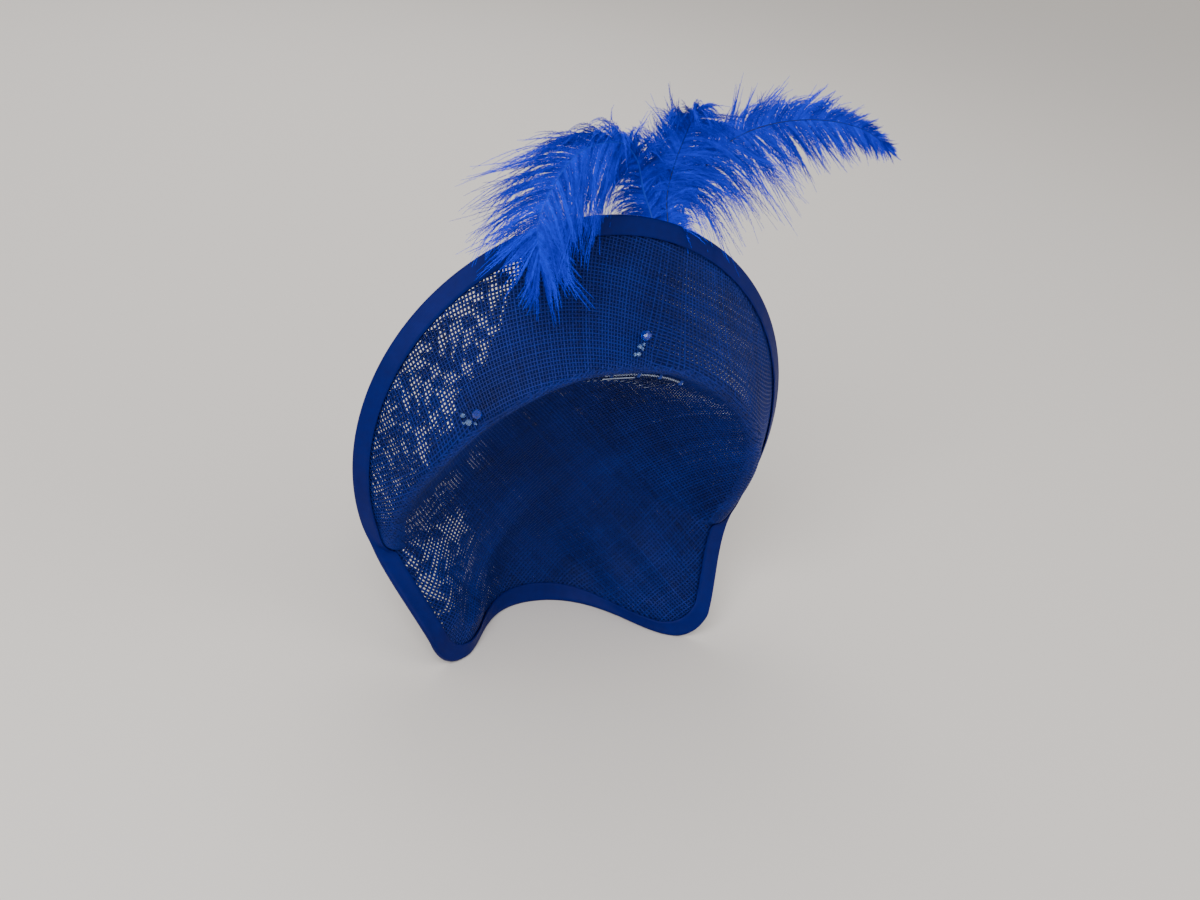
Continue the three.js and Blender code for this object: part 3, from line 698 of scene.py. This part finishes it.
def ribbon_mesh(name, material, stations):
    """The ribbon folded over the whole edge, with its length and width kept as a map."""
    profile = ribbon_profile()
    place = np.linspace(FORM.edge_way[0], FORM.edge_way[-1], stations, endpoint=False)
    courses = np.interp(place, FORM.edge_way, FORM.courses)
    ripple = 0.12 * np.sin(place / 3.1 + 2 * np.sin(place / 17)) + 0.08 * np.sin(place / 1.7)
    edge, edge_normal = FORM.at(courses, 0)
    bound, _ = FORM.at(courses, BINDING_WIDTH)
    into = unit(bound - edge)
    rings = []
    for depth, off in profile:
        if depth > 0:
            base, normal = FORM.at(courses, depth)
        else:
            base, normal = edge + into * depth, edge_normal
        wave = np.clip(depth / BINDING_WIDTH, 0, 1) * math.copysign(1, off) * ripple[:, None]
        rings.append(base + normal * (off + 0.6 * wave))
    vertices = in_frame(np.stack(rings, axis=1)).reshape(-1, 3)
    count = len(profile)
    faces, uvs = [], []
    for i in range(stations):
        following = (i + 1) % stations
        for k in range(count):
            step = (k + 1) % count
            faces.append([i * count + k, following * count + k, following * count + step, i * count + step])
            low, high = k * MAP_STEP, (k + 1) * MAP_STEP
            near, far = place[i], place[i] + place[1] - place[0]
            uvs += [(near, low), (far, low), (far, high), (near, high)]
    piece = face_mesh(name, vertices, faces, material)
    layer = piece.data.uv_layers.new(name=RIBBON_MAP)
    layer.data.foreach_set("uv", np.array(uvs, float).ravel())
    return piece


# Comb, in mm: how far behind the fold it lies, its gap to the sheet and the radius of its wire
COMB_BACK, COMB_GAP, WIRE_RADIUS = 9.0, 1.4, 0.34
# Half length and half width of the oval loop at the comb's end
END_LOOP = 10.0, 1.9
# Change of course for each mm across, near the middle of the front
COURSE_PER_MM = FOLD_ROWS[1][0] / (FOLD_ROWS[1][1] * FOLD_ACROSS)
# Seed beads: course, and way in from the edge in mm
SEED_BEADS = ((-0.548, 56), (-0.521, 61.5), (0.024, 71), (-0.004, 74), (0.030, 68.5))


def inside_crown(across, distance, off):
    """Point under the front of the crown: how far to the right, behind the fold and off the sheet."""
    course = across * COURSE_PER_MM
    start = np.interp(course, FORM.courses, FORM.crown_start)
    point, normal = FORM.at(course, start + distance)
    return point + normal * (SHEET_WALL / 2 + off)


def twist(path, turns, radius, phase):
    """A path wound round another one."""
    tangent = unit(np.gradient(path, axis=0))
    normal = unit(np.cross(tangent, [0, 1, 0]))
    other = np.cross(tangent, normal)
    angle = (np.linspace(0, 2 * math.pi * turns, len(path)) + phase)[:, None]
    return path + (normal * np.cos(angle) + other * np.sin(angle)) * radius


# Plumes: the course of the seat, the points of the quill past the rim, the way that the flat looks, and
# the rows of barbs: place on the quill, then length and sink on the left and on the right
PLUMES = {
    "plume_left": {
        "course": 0.10,
        "way": ((-5, 7, 14), (-16, 2, 34), (-34, -8, 46), (-58, -16, 43), (-74, -26, 30), (-83, -34, 12),
                (-81, -39, -6)),
        "face": (-0.3, -0.87, 0.4),
        "rows": (
            (0.17, 24, 0.5, 16, 0.6), (0.24, 30, 0.6, 26, 0.4), (0.32, 30, 0.8, 31, 0.4),
            (0.40, 34, 0.8, 32, 0.7), (0.50, 37, 0.8, 34, 0.8), (0.60, 38, 0.6, 44, 0.6),
            (0.70, 37, 0.4, 52, 0.4), (0.79, 32, 0.3, 48, 0.3), (0.88, 30, 0.2, 36, 0.1),
            (0.96, 28, 0.2, 27, 0.1), (1.00, 27, 0.1, 26, 0.1),
        ),
        "barbs": 1180,
    },
    "plume_centre": {
        "course": 0.14,
        "way": ((1, 9, 14), (5, 14, 32), (9, 15, 48), (9, 11, 60)),
        "face": (-0.3, -0.87, 0.4),
        "rows": (
            (0.26, 20, 0.6, 18, 1.0), (0.36, 27, 0.8, 23, 0.9), (0.47, 33, 0.7, 28, 0.8),
            (0.59, 37, 0.5, 31, 0.7), (0.72, 39, 0.4, 31, 0.6), (0.85, 37, 0.6, 31, 0.6),
            (0.97, 29, 1.0, 27, 0.8), (1.00, 24, 1.2, 24, 1.0),
        ),
        "barbs": 1150,
    },
    "plume_right": {
        "course": 0.18,
        "way": ((3, 8, 12), (13, 14, 29), (30, 20, 44), (57, 25, 53), (90, 26, 56), (118, 24, 52),
                (138, 22, 42)),
        "face": (-0.2, -0.87, 0.45),
        "rows": (
            (0.22, 16, 0.6, 21, 1.8), (0.28, 24, 0.6, 27, 1.6), (0.37, 30, 0.5, 31, 1.2),
            (0.46, 34, 0.4, 33, 0.9), (0.56, 34, 0.3, 30, 0.7), (0.66, 28, 0.2, 25, 0.5),
            (0.76, 20, 0.2, 21, 0.4), (0.86, 12, 0.2, 16, 0.3), (0.95, 8, 0.1, 11, 0.2),
            (1.00, 5, 0.1, 7, 0.1),
        ),
        "barbs": 1300,
    },
}
QUILL_RADIUS = 0.9
SEAT_DEPTH = 30.0
BARB_SIDE, BARB_ALONG = 0.8, 0.6
BARB_SINK = np.array([0, -0.5, -0.87])
BARB_POINTS = 8
# Past this share of the quill the barbs turn more and more along it
FAN_FROM, FAN = 0.93, 1.4


def smooth_path(points, steps=14):
    """A centripetal curve through points."""
    points = [np.asarray(point, float) for point in points]
    points = [2 * points[0] - points[1]] + points + [2 * points[-1] - points[-2]]
    path = []
    for p0, p1, p2, p3 in zip(points, points[1:], points[2:], points[3:]):
        d0, d1, d2 = (max(np.linalg.norm(b - a), 1e-6) ** 0.5 for a, b in ((p0, p1), (p1, p2), (p2, p3)))
        t1 = ((p1 - p0) / d0 - (p2 - p0) / (d0 + d1) + (p2 - p1) / d1) * d1
        t2 = ((p2 - p1) / d1 - (p3 - p1) / (d1 + d2) + (p3 - p2) / d2) * d1
        path += [hermite(p1, p2, t1, t2, k / steps) for k in range(steps)]
    path.append(points[-2])
    return np.array(path)


def quill_path(course, way):
    """The quill: sewn flat behind the brim, past the bound rim, then out along its chosen points."""
    off = -(SHEET_WALL / 2 + SEWN_GAP + QUILL_RADIUS)
    past = off - SEWN_GAP - BINDING_WALL

    def behind(depth, distance):
        point, normal = FORM.at(course, depth)
        return point + normal * distance

    rim = behind(0, past - SEWN_GAP)
    points = [behind(SEAT_DEPTH, off), behind(SEAT_DEPTH * 0.7, off - SEWN_GAP), behind(BINDING_WIDTH, past)]
    points += [rim] + [rim + np.array(step) for step in way]
    path = smooth_path(points)
    along = way_along(path)
    return spaced(path, along, np.linspace(0, along[-1], 240))


def feather_tree():
    """Barbs along the chains of a mesh, each with fine barbules round it."""
    tree, add, given = node_tree("Feather barbs", (
        ("Barb Radius", "NodeSocketFloat", 0.00016), ("Barbule Length", "NodeSocketFloat", 0.0024),
        ("Barbule Width", "NodeSocketFloat", 0.00026), ("Barbule Spacing", "NodeSocketFloat", 0.0003),
        ("Barbule Tilt", "NodeSocketFloat", 0.45), ("Seed", "NodeSocketInt", 1),
        ("Material", "NodeSocketMaterial", None),
    ))

    def drawn(low, high):
        """A random value for each barbule."""
        return add("FunctionNodeRandomValue", {2: low, 3: high, "Seed": given["Seed"]},
                   data_type="FLOAT").outputs[1]

    def spun(rotation, **angles):
        """A rotation turned further, about its own axes."""
        turn = add("FunctionNodeEulerToRotation", {"Euler": add("ShaderNodeCombineXYZ", angles).outputs[0]})
        return add("FunctionNodeRotateRotation", {"Rotation": rotation, "Rotate By": turn.outputs[0]},
                   rotation_space="LOCAL").outputs[0]

    curve = add("GeometryNodeMeshToCurve", {"Mesh": given["Geometry"]})
    along = add("GeometryNodeInputNamedAttribute", {"Name": "along"}, data_type="FLOAT")
    taper = add("ShaderNodeMapRange", {"Value": along.outputs[0], "To Min": 1.0, "To Max": 0.4})
    ring = add("GeometryNodeCurvePrimitiveCircle", {"Resolution": 3, "Radius": given["Barb Radius"]})
    barb = add("GeometryNodeCurveToMesh", {"Curve": curve.outputs[0], "Profile Curve": ring.outputs[0],
                                           "Scale": taper.outputs["Result"]})
    dots = add("GeometryNodeCurveToPoints", {"Curve": curve.outputs[0], "Length": given["Barbule Spacing"]},
               mode="LENGTH")
    blade = add("GeometryNodeMeshCircle", {"Vertices": 3, "Radius": 1.0}, fill_type="NGON")
    tall = add("ShaderNodeMath", {0: given["Barbule Length"], 1: 1.5}, operation="DIVIDE")
    wide = add("ShaderNodeMath", {0: given["Barbule Width"], 1: 3 ** 0.5}, operation="DIVIDE")
    form = add("ShaderNodeCombineXYZ", {"X": tall.outputs[0], "Y": wide.outputs[0], "Z": 1.0})
    half = add("ShaderNodeMath", {0: tall.outputs[0], 1: 0.5}, operation="MULTIPLY")
    lift = add("ShaderNodeCombineXYZ", {"Z": half.outputs[0]})
    barbule = add("GeometryNodeTransform", {
        "Geometry": blade.outputs["Mesh"], "Scale": form.outputs[0], "Translation": lift.outputs[0],
        "Rotation": (0, -math.pi / 2, 0)})
    around = spun(dots.outputs["Rotation"], Z=drawn(0.0, 2 * math.pi))
    leaned = spun(around, X=given["Barbule Tilt"])
    shrink = add("ShaderNodeMapRange", {"Value": along.outputs[0], "From Min": 0.55, "To Min": 1.0,
                                        "To Max": 0.35})
    scale = add("ShaderNodeMath", {0: drawn(0.6, 1.15), 1: shrink.outputs["Result"]}, operation="MULTIPLY")
    copies = add("GeometryNodeInstanceOnPoints", {
        "Points": dots.outputs["Points"], "Instance": barbule.outputs[0], "Rotation": leaned,
        "Scale": scale.outputs[0]})
    both = add("GeometryNodeJoinGeometry")
    for part in (copies, barb):
        feed(both, {0: part.outputs[0]})
    end_tree(add, both.outputs[0], given["Material"])
    return tree


def barb_lines(quill, face, rows, count, seed):
    """Barbs on both sides of a quill, gathered a little into locks, that bend forward and droop."""
    rng = np.random.default_rng(seed)
    rows = np.array(rows)
    face = unit(np.array(face))
    tangents = unit(np.gradient(quill, axis=0))
    shares = np.linspace(0, 1, BARB_POINTS)[:, None]
    lines, tones, ways = [], [], []
    for side_column, sign in ((1, -1), (3, 1)):
        left_in_lock = 0
        for k in range(count // 2):
            at = rows[0, 0] + (rows[-1, 0] - rows[0, 0]) * (k + rng.uniform(-0.5, 0.5)) / (count // 2 - 1)
            at = min(max(at, rows[0, 0]), 1.0)
            place = at * (len(quill) - 1)
            low = min(int(place), len(quill) - 2)
            root = quill[low] + (quill[low + 1] - quill[low]) * (place - low)
            along = tangents[low]
            side = unit(np.cross(along, face) * sign)
            length = np.interp(at, rows[:, 0], rows[:, side_column])
            sink = np.interp(at, rows[:, 0], rows[:, side_column + 1])
            fan = 1 + FAN * max(at - FAN_FROM, 0) / (1 - FAN_FROM)
            reach = unit(side * BARB_SIDE / fan + along * BARB_ALONG * fan)
            if left_in_lock == 0:
                left_in_lock = rng.integers(3, 11)
                lock_reach = rng.normal(0, 0.09, 3) + face * rng.uniform(-0.20, 0.26)
                lock_curl, lock_tone = rng.normal(0, 0.25, 3), rng.uniform(-0.34, 0.34)
                lock_size, lock_sink = rng.uniform(0.84, 1.12), rng.uniform(0.6, 1.5)
            left_in_lock -= 1
            own = rng.normal(0, 0.05, 3) + face * rng.uniform(-0.22, 0.22)
            length = length * lock_size * rng.uniform(0.55, 1.06)
            bend = along * 0.28 + BARB_SINK * sink * lock_sink * rng.uniform(0.85, 1.15)
            path = (reach + own * (1 - 0.6 * shares) + lock_reach * shares) * shares + bend * shares ** 2
            curl = (lock_curl + rng.normal(0, 0.10, 3)) * np.clip(shares - 0.4, 0, 1) ** 2
            lines.append(in_frame(root + length * (path / (1 + 0.2 * shares) + curl)))
            tones.append(np.full(BARB_POINTS, 0.5 + lock_tone + rng.uniform(-0.2, 0.2)))
            ways.append(shares[:, 0])
    return lines, tones, ways


# Settings

class SheetSettings(bpy.types.PropertyGroup):
    """Sizes and colours of the woven sheet."""
    pitch: FloatProperty(name="Thread pitch", description="From one thread to the next", default=0.00195,
                         unit="LENGTH")
    width: FloatProperty(name="Thread width", description="Width of a flat straw thread", default=0.00098,
                         unit="LENGTH")
    thickness: FloatProperty(name="Thread thickness", description="Thickness of a thread", default=0.00024,
                             unit="LENGTH")
    turn: FloatProperty(name="Turn of the cloth", description="Angle between the threads and the rim",
                        default=math.radians(16), subtype="ANGLE")
    layer_lift: FloatProperty(name="Layer offset", description="Each layer's distance from the middle",
                              default=0.00023, unit="LENGTH")
    bright: FloatVectorProperty(name="Bright", description="Light shade of the straw", subtype="COLOR",
                                default=(0.001, 0.014, 0.205))
    deep: FloatVectorProperty(name="Deep", description="Deep shade of the straw", subtype="COLOR",
                              default=(0.000, 0.003, 0.055))


class RibbonSettings(bpy.types.PropertyGroup):
    """Detail and colours of the ribbon edge."""
    stations: IntProperty(name="Stations", description="Steps round the edge", default=620)
    bright: FloatVectorProperty(name="Bright", description="Light shade of the ribbon", subtype="COLOR",
                                default=(0.000, 0.005, 0.130))
    deep: FloatVectorProperty(name="Deep", description="Deep shade of the ribbon", subtype="COLOR",
                              default=(0.000, 0.002, 0.062))


class CombSettings(bpy.types.PropertyGroup):
    """Sizes and colour of the wire comb."""
    width: FloatProperty(name="Width", description="Length of the spine", default=0.052, unit="LENGTH")
    offset: FloatProperty(name="Offset", description="Middle of the comb from the middle of the hat",
                          default=0.015, unit="LENGTH")
    teeth: IntProperty(name="Teeth", description="Number of teeth", default=10)
    tooth_length: FloatProperty(name="Tooth length", description="Length of a tooth", default=0.030,
                                unit="LENGTH")
    colour: FloatVectorProperty(name="Colour", description="Colour of the wire", subtype="COLOR",
                                default=(0.34, 0.40, 0.55))


class BeadSettings(bpy.types.PropertyGroup):
    """Colours of the beads and size of the seed beads."""
    blue: FloatVectorProperty(name="Blue", description="Colour of the blue glass", subtype="COLOR",
                              default=(0.01, 0.09, 0.9))
    # The glass is clear; its blue tint is painted reflection of the blue straw and plumes round it.
    clear: FloatVectorProperty(name="Clear", description="Colour of the clear glass", subtype="COLOR",
                               default=(0.36, 0.58, 1.0))
    seed_size: FloatProperty(name="Seed size", description="Diameter of a seed bead", default=0.0019,
                             unit="LENGTH")


class PlumeSettings(bpy.types.PropertyGroup):
    """Sizes and colours of the ostrich plumes."""
    barbule_length: FloatProperty(name="Barbule length", description="Length of a barbule",
                                  default=0.0024, unit="LENGTH")
    barbule_spacing: FloatProperty(name="Barbule spacing", description="From one barbule to the next",
                                   default=0.00029, unit="LENGTH")
    bright: FloatVectorProperty(name="Bright", description="Light shade of the dye", subtype="COLOR",
                                default=(0.009, 0.042, 1.000))
    deep: FloatVectorProperty(name="Deep", description="Deep shade of the dye", subtype="COLOR",
                              default=(0.001, 0.004, 0.360))
    seed: IntProperty(name="Seed", description="Start of the random draws", default=7)


class StageSettings(bpy.types.PropertyGroup):
    """Floor, light and lens."""
    floor_colour: FloatVectorProperty(name="Floor", description="Colour of the floor", subtype="COLOR",
                                      default=(0.74, 0.70, 0.665))
    lens: FloatProperty(name="Lens", description="Focal length in mm", default=52.0)
    sky: FloatProperty(name="Room light", description="Strength of the light from all round", default=0.72)


SETTINGS = {"sheet": SheetSettings, "ribbon": RibbonSettings, "comb": CombSettings, "beads": BeadSettings,
            "plumes": PlumeSettings, "stage": StageSettings}


def settings(context, part):
    """The settings of one part."""
    return getattr(context.scene, "fascinator_" + part)


def keep(piece, slot, *replaced):
    """A finished piece rides on the one body, and stands for the nodes that it replaces."""
    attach(piece, "root")
    if replaced:
        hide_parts(*replaced)


# Stage, in metres: half the floor's side, what the lamps aim at, and the lamps' places, sizes and watts
FLOOR_HALF = 40.0
AIM = np.array([0.0, -0.02, 0.15])
LAMPS = (
    ("key", (-0.9, -0.9, 1.15), 0.9, 21.0),
    ("fill", (1.1, -0.9, 0.8), 1.3, 5.0),
    ("back", (0.2, 1.1, 1.1), 1.0, 7.0),
)
# The camera: how far it stands round to the left, looks down and is rolled, in degrees, and its place
CAMERA_ANGLES = 30.042, 26.585, 11.175
CAMERA_PLACE = (-0.41506, -0.74827 - NAPE_BACK * MM, 0.53690)


def stand(item, place, back, roll=0.0):
    """Put a lamp or the camera at a place, with its back that way, and rolled about it."""
    back = unit(np.array(back))
    level = unit(np.cross([0, 0, 1], back))
    right = level * math.cos(roll) + np.cross(back, level) * math.sin(roll)
    axes = np.column_stack([right, np.cross(back, right), back, place])
    bpy.context.collection.objects.link(item)
    item.matrix_world = Matrix([*axes.tolist(), [0, 0, 0, 1]])


# Operators

class FASCINATOR_OT_stage(bpy.types.Operator):
    """Set up the floor, the soft light and the camera"""
    bl_idname = "fascinator.stage"
    bl_label = "Stage"

    def execute(self, context):
        values = settings(context, "stage")
        material = principled("Floor", Base_Color=(*values.floor_colour, 1), Roughness=0.9)[0]
        corners = [(x * FLOOR_HALF, y * FLOOR_HALF, 0) for x, y in ((-1, -1), (1, -1), (1, 1), (-1, 1))]
        face_mesh("floor", corners, [[0, 1, 2, 3]], material)
        world = bpy.data.worlds.new("Room")
        world.use_nodes = True
        feed(world.node_tree.nodes["Background"], {"Color": (1.0, 0.985, 0.96, 1), "Strength": values.sky})
        context.scene.world = world
        for name, place, size, power in LAMPS:
            light = bpy.data.lights.new(name, "AREA")
            light.size = size
            light.energy = power
            stand(bpy.data.objects.new(name, light), place, place - AIM)
        camera = bpy.data.objects.new("camera", bpy.data.cameras.new("camera"))
        camera.data.lens = values.lens
        turn, down, roll = np.radians(CAMERA_ANGLES)
        back = (-math.sin(turn) * math.cos(down), -math.cos(turn) * math.cos(down), math.sin(down))
        stand(camera, CAMERA_PLACE, back, roll)
        context.scene.camera = camera
        return {"FINISHED"}


class FASCINATOR_OT_sheet(bpy.types.Operator):
    """Weave the two layers of straw cloth of the brim and of the crown"""
    bl_idname = "fascinator.sheet"
    bl_label = "Straw sheet"

    def execute(self, context):
        values = settings(context, "sheet")
        pitch = values.pitch / MM
        lift = values.layer_lift / MM
        tree = thread_tree()
        bright = fibre_material("Straw front", values.deep, values.bright, 0.45, 420, 30, tone="tone",
                                Specular_IOR_Level=0.18)
        # The back layer gets the straw's light shade darkened to 0.45: painted shade for the shadow that the
        # front layer casts on it.
        painted_shade_bright = [value * 0.45 for value in values.bright]
        back = fibre_material("Straw back painted shade", values.deep, painted_shade_bright, 0.5, 420, 30, tone="tone",
                              Specular_IOR_Level=0.12)
        pieces = []
        for label, plan, size, turn in (
            ("brim", brim_surface, BRIM_PLAN, -values.turn),
            ("crown", crown_surface, CROWN_PLAN, CROWN_TURN),
        ):
            surface = plan(pitch, turn)
            for layer, side, material in ((0, 1, bright), (1, -1, back)):
                seed = CLOTH_SEED + layer
                lines, values_at = cloth_lines(surface, size, turn, pitch, layer, side * lift, seed)
                source = line_mesh(label, lines, **values_at)
                name = f"straw_{label}_{'back' if layer else 'front'}"
                pieces.append(run_nodes(name, source, tree, {
                    "Thread Width": values.width,
                    "Thread Thickness": values.thickness,
                    "Material": material,
                }))
        keep(pieces[0], "straw_mesh", "blocked_shell")
        for piece in pieces[1:]:
            keep(piece, "straw_mesh")
        return {"FINISHED"}


class FASCINATOR_OT_ribbon(bpy.types.Operator):
    """Fold the ribbon over the edge"""
    bl_idname = "fascinator.ribbon"
    bl_label = "Ribbon edge"

    def execute(self, context):
        values = settings(context, "ribbon")
        material = ribbon_material("Ribbon", values.deep, values.bright)
        keep(ribbon_mesh("ribbon_edge", material, values.stations), "ribbon", "edge_binding")
        return {"FINISHED"}


class FASCINATOR_OT_comb(bpy.types.Operator):
    """Bend the wire comb and sew it in"""
    bl_idname = "fascinator.comb"
    bl_label = "Comb"

    def execute(self, context):
        values = settings(context, "comb")
        width, offset, tooth = values.width / MM, values.offset / MM, values.tooth_length / MM
        across = offset + np.linspace(-width / 2, width / 2, 160)
        spine = np.array([inside_crown(x, COMB_BACK, COMB_GAP) for x in across])
        strands = [twist(spine, values.teeth * 1.5, WIRE_RADIUS * 1.05, phase) for phase in (0, math.pi)]
        parts = [sweep(in_frame(strand), WIRE_RADIUS * MM, 6) for strand in strands]
        for k in range(values.teeth):
            middle = offset + width * ((k + 0.5) / values.teeth - 0.5)
            spread = width / values.teeth * 0.24
            loop = []
            for t in np.linspace(0, 1, 25):
                way = 1 - abs(2 * t - 1)
                reach = min(way * 1.06, 1.0)
                x = middle + spread * math.cos(math.pi * min(max((t - 0.42) / 0.16, 0), 1))
                loop.append(inside_crown(x, COMB_BACK + reach * tooth, COMB_GAP + reach * 0.6))
            parts.append(sweep(in_frame(loop), WIRE_RADIUS * 0.8 * MM, 6))
        middle = offset - width / 2 + 8
        end_loop = []
        for turn in np.linspace(0, 2 * math.pi, 40):
            aside, behind = END_LOOP[0] * math.cos(turn), END_LOOP[1] * math.sin(turn)
            end_loop.append(inside_crown(middle + aside, COMB_BACK - 0.5 + behind, COMB_GAP + 1.4))
        parts.append(sweep(in_frame(end_loop), WIRE_RADIUS * 1.3 * MM, 8))
        vertices, faces = join(parts)
        piece = face_mesh("comb_wires", vertices, faces, wire_material("Comb wire", values.colour))
        keep(piece, "comb_wire", "wire_comb")
        thread = fibre_material("Sewing thread", (0.003, 0.02, 0.25), (0.01, 0.06, 0.5), 0.5, 500, 40)
        stitches = []
        for group in (offset - width / 2 + 3, offset - 6, offset + 8, offset + width / 2 - 3):
            for turn in range(4):
                place = group + turn * 0.5
                start = inside_crown(place, COMB_BACK - 1.6, 0.1)
                top = inside_crown(place, COMB_BACK, COMB_GAP + 1.25)
                end = inside_crown(place + 0.3, COMB_BACK + 1.7, 0.1)
                stitches.append(sweep(in_frame(smooth_path([start, top, end], 6)), 0.18 * MM, 5))
        vertices, faces = join(stitches)
        keep(face_mesh("comb_stitches", vertices, faces, thread), "straw_mesh")
        return {"FINISHED"}


class FASCINATOR_OT_beads(bpy.types.Operator):
    """Give the cut beads their glass, and sew the seed beads beside them"""
    bl_idname = "fascinator.beads"
    bl_label = "Beads"

    def execute(self, context):
        values = settings(context, "beads")
        blue = glass_material("Blue glass", values.blue)
        # The clear glass's blue tint is painted reflection of the blue around the beads.
        clear = glass_material("Clear glass", values.clear)
        for name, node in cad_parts.items():
            if name.startswith("bead_"):
                for slot in node.material_slots:
                    slot.material = blue if "blue" in name else clear
        radius = values.seed_size / MM / 2
        parts = []
        for course, depth in SEED_BEADS:
            point, normal = FORM.at(course, depth)
            ahead, _ = FORM.at(course + 0.01, depth)
            round_way = unit(ahead - point)
            centre = point + normal * (SHEET_WALL / 2 + SEWN_GAP + radius)
            shape = [centre + round_way * radius * 0.62 * t for t in np.linspace(-1, 1, 7)]
            sizes = radius * np.array([0.45, 0.8, 0.96, 1.0, 0.96, 0.8, 0.45]) * MM
            parts.append(sweep(in_frame(shape), sizes, 12))
        vertices, faces = join(parts)
        keep(face_mesh("seed_beads", vertices, faces, clear), "clear_glass")
        return {"FINISHED"}


class FASCINATOR_OT_plumes(bpy.types.Operator):
    """Grow the three ostrich plumes"""
    bl_idname = "fascinator.plumes"
    bl_label = "Plumes"

    def execute(self, context):
        values = settings(context, "plumes")
        tree = feather_tree()
        dyed = fibre_material("Plume barbs", values.deep, values.bright, 0.6, 260, 24, tone="tone",
                              Specular_IOR_Level=0.08, Sheen_Weight=0.10, Sheen_Tint=(0.12, 0.3, 1.0, 1.0))
        pale = fibre_material("Plume shaft pale", (0.001, 0.008, 0.30), (0.010, 0.055, 0.75), 0.4, 300, 60,
                              Specular_IOR_Level=0.3)
        dark = fibre_material("Plume shaft dark", (0.001, 0.004, 0.06), (0.002, 0.014, 0.20), 0.4, 300, 60,
                              Specular_IOR_Level=0.3)
        for number, (name, plume) in enumerate(PLUMES.items()):
            seed = values.seed + number
            quill = quill_path(plume["course"], plume["way"])
            lines, tones, ways = barb_lines(quill, plume["face"], plume["rows"], plume["barbs"], seed)
            source = line_mesh(name + "_lines", lines, tone=tones, along=ways)
            barbs = run_nodes(name + "_barbs", source, tree, {
                "Barbule Length": values.barbule_length,
                "Barbule Spacing": values.barbule_spacing,
                "Seed": seed,
                "Material": dyed,
            })
            keep(barbs, "plume", name)
            radius = np.linspace(QUILL_RADIUS * 0.8, 0.2, len(quill)) * MM
            vertices, faces = sweep(in_frame(quill), radius, 8)
            keep(face_mesh(name + "_quill", vertices, faces, pale if number == 0 else dark), "plume")
        return {"FINISHED"}


class FASCINATOR_PT_panel(bpy.types.Panel):
    """Lists the pieces of the fascinator"""
    bl_idname = "FASCINATOR_PT_panel"
    bl_label = "Fascinator"
    bl_space_type = "VIEW_3D"
    bl_region_type = "UI"
    bl_category = "Fascinator"

    def draw(self, context):
        for operator in OPERATORS:
            part = operator.bl_idname.split(".")[1]
            box = self.layout.box()
            box.operator(operator.bl_idname)
            values = settings(context, part)
            for label in values.__annotations__:
                box.prop(values, label)


OPERATORS = (FASCINATOR_OT_stage, FASCINATOR_OT_sheet, FASCINATOR_OT_ribbon, FASCINATOR_OT_comb,
             FASCINATOR_OT_beads, FASCINATOR_OT_plumes)
CLASSES = (*SETTINGS.values(), *OPERATORS, FASCINATOR_PT_panel)


def register():
    """Register the classes, and the settings on the scene."""
    for item in CLASSES:
        bpy.utils.register_class(item)
    for part, group in SETTINGS.items():
        setattr(bpy.types.Scene, "fascinator_" + part, PointerProperty(type=group))


def unregister():
    """Take the settings and the classes away again."""
    for part in SETTINGS:
        delattr(bpy.types.Scene, "fascinator_" + part)
    for item in reversed(CLASSES):
        bpy.utils.unregister_class(item)


def main():
    """Build every part in turn."""
    register()
    bpy.ops.fascinator.stage()
    bpy.ops.fascinator.sheet()
    bpy.ops.fascinator.ribbon()
    bpy.ops.fascinator.comb()
    bpy.ops.fascinator.beads()
    bpy.ops.fascinator.plumes()


if __name__ == "__main__":
    main()
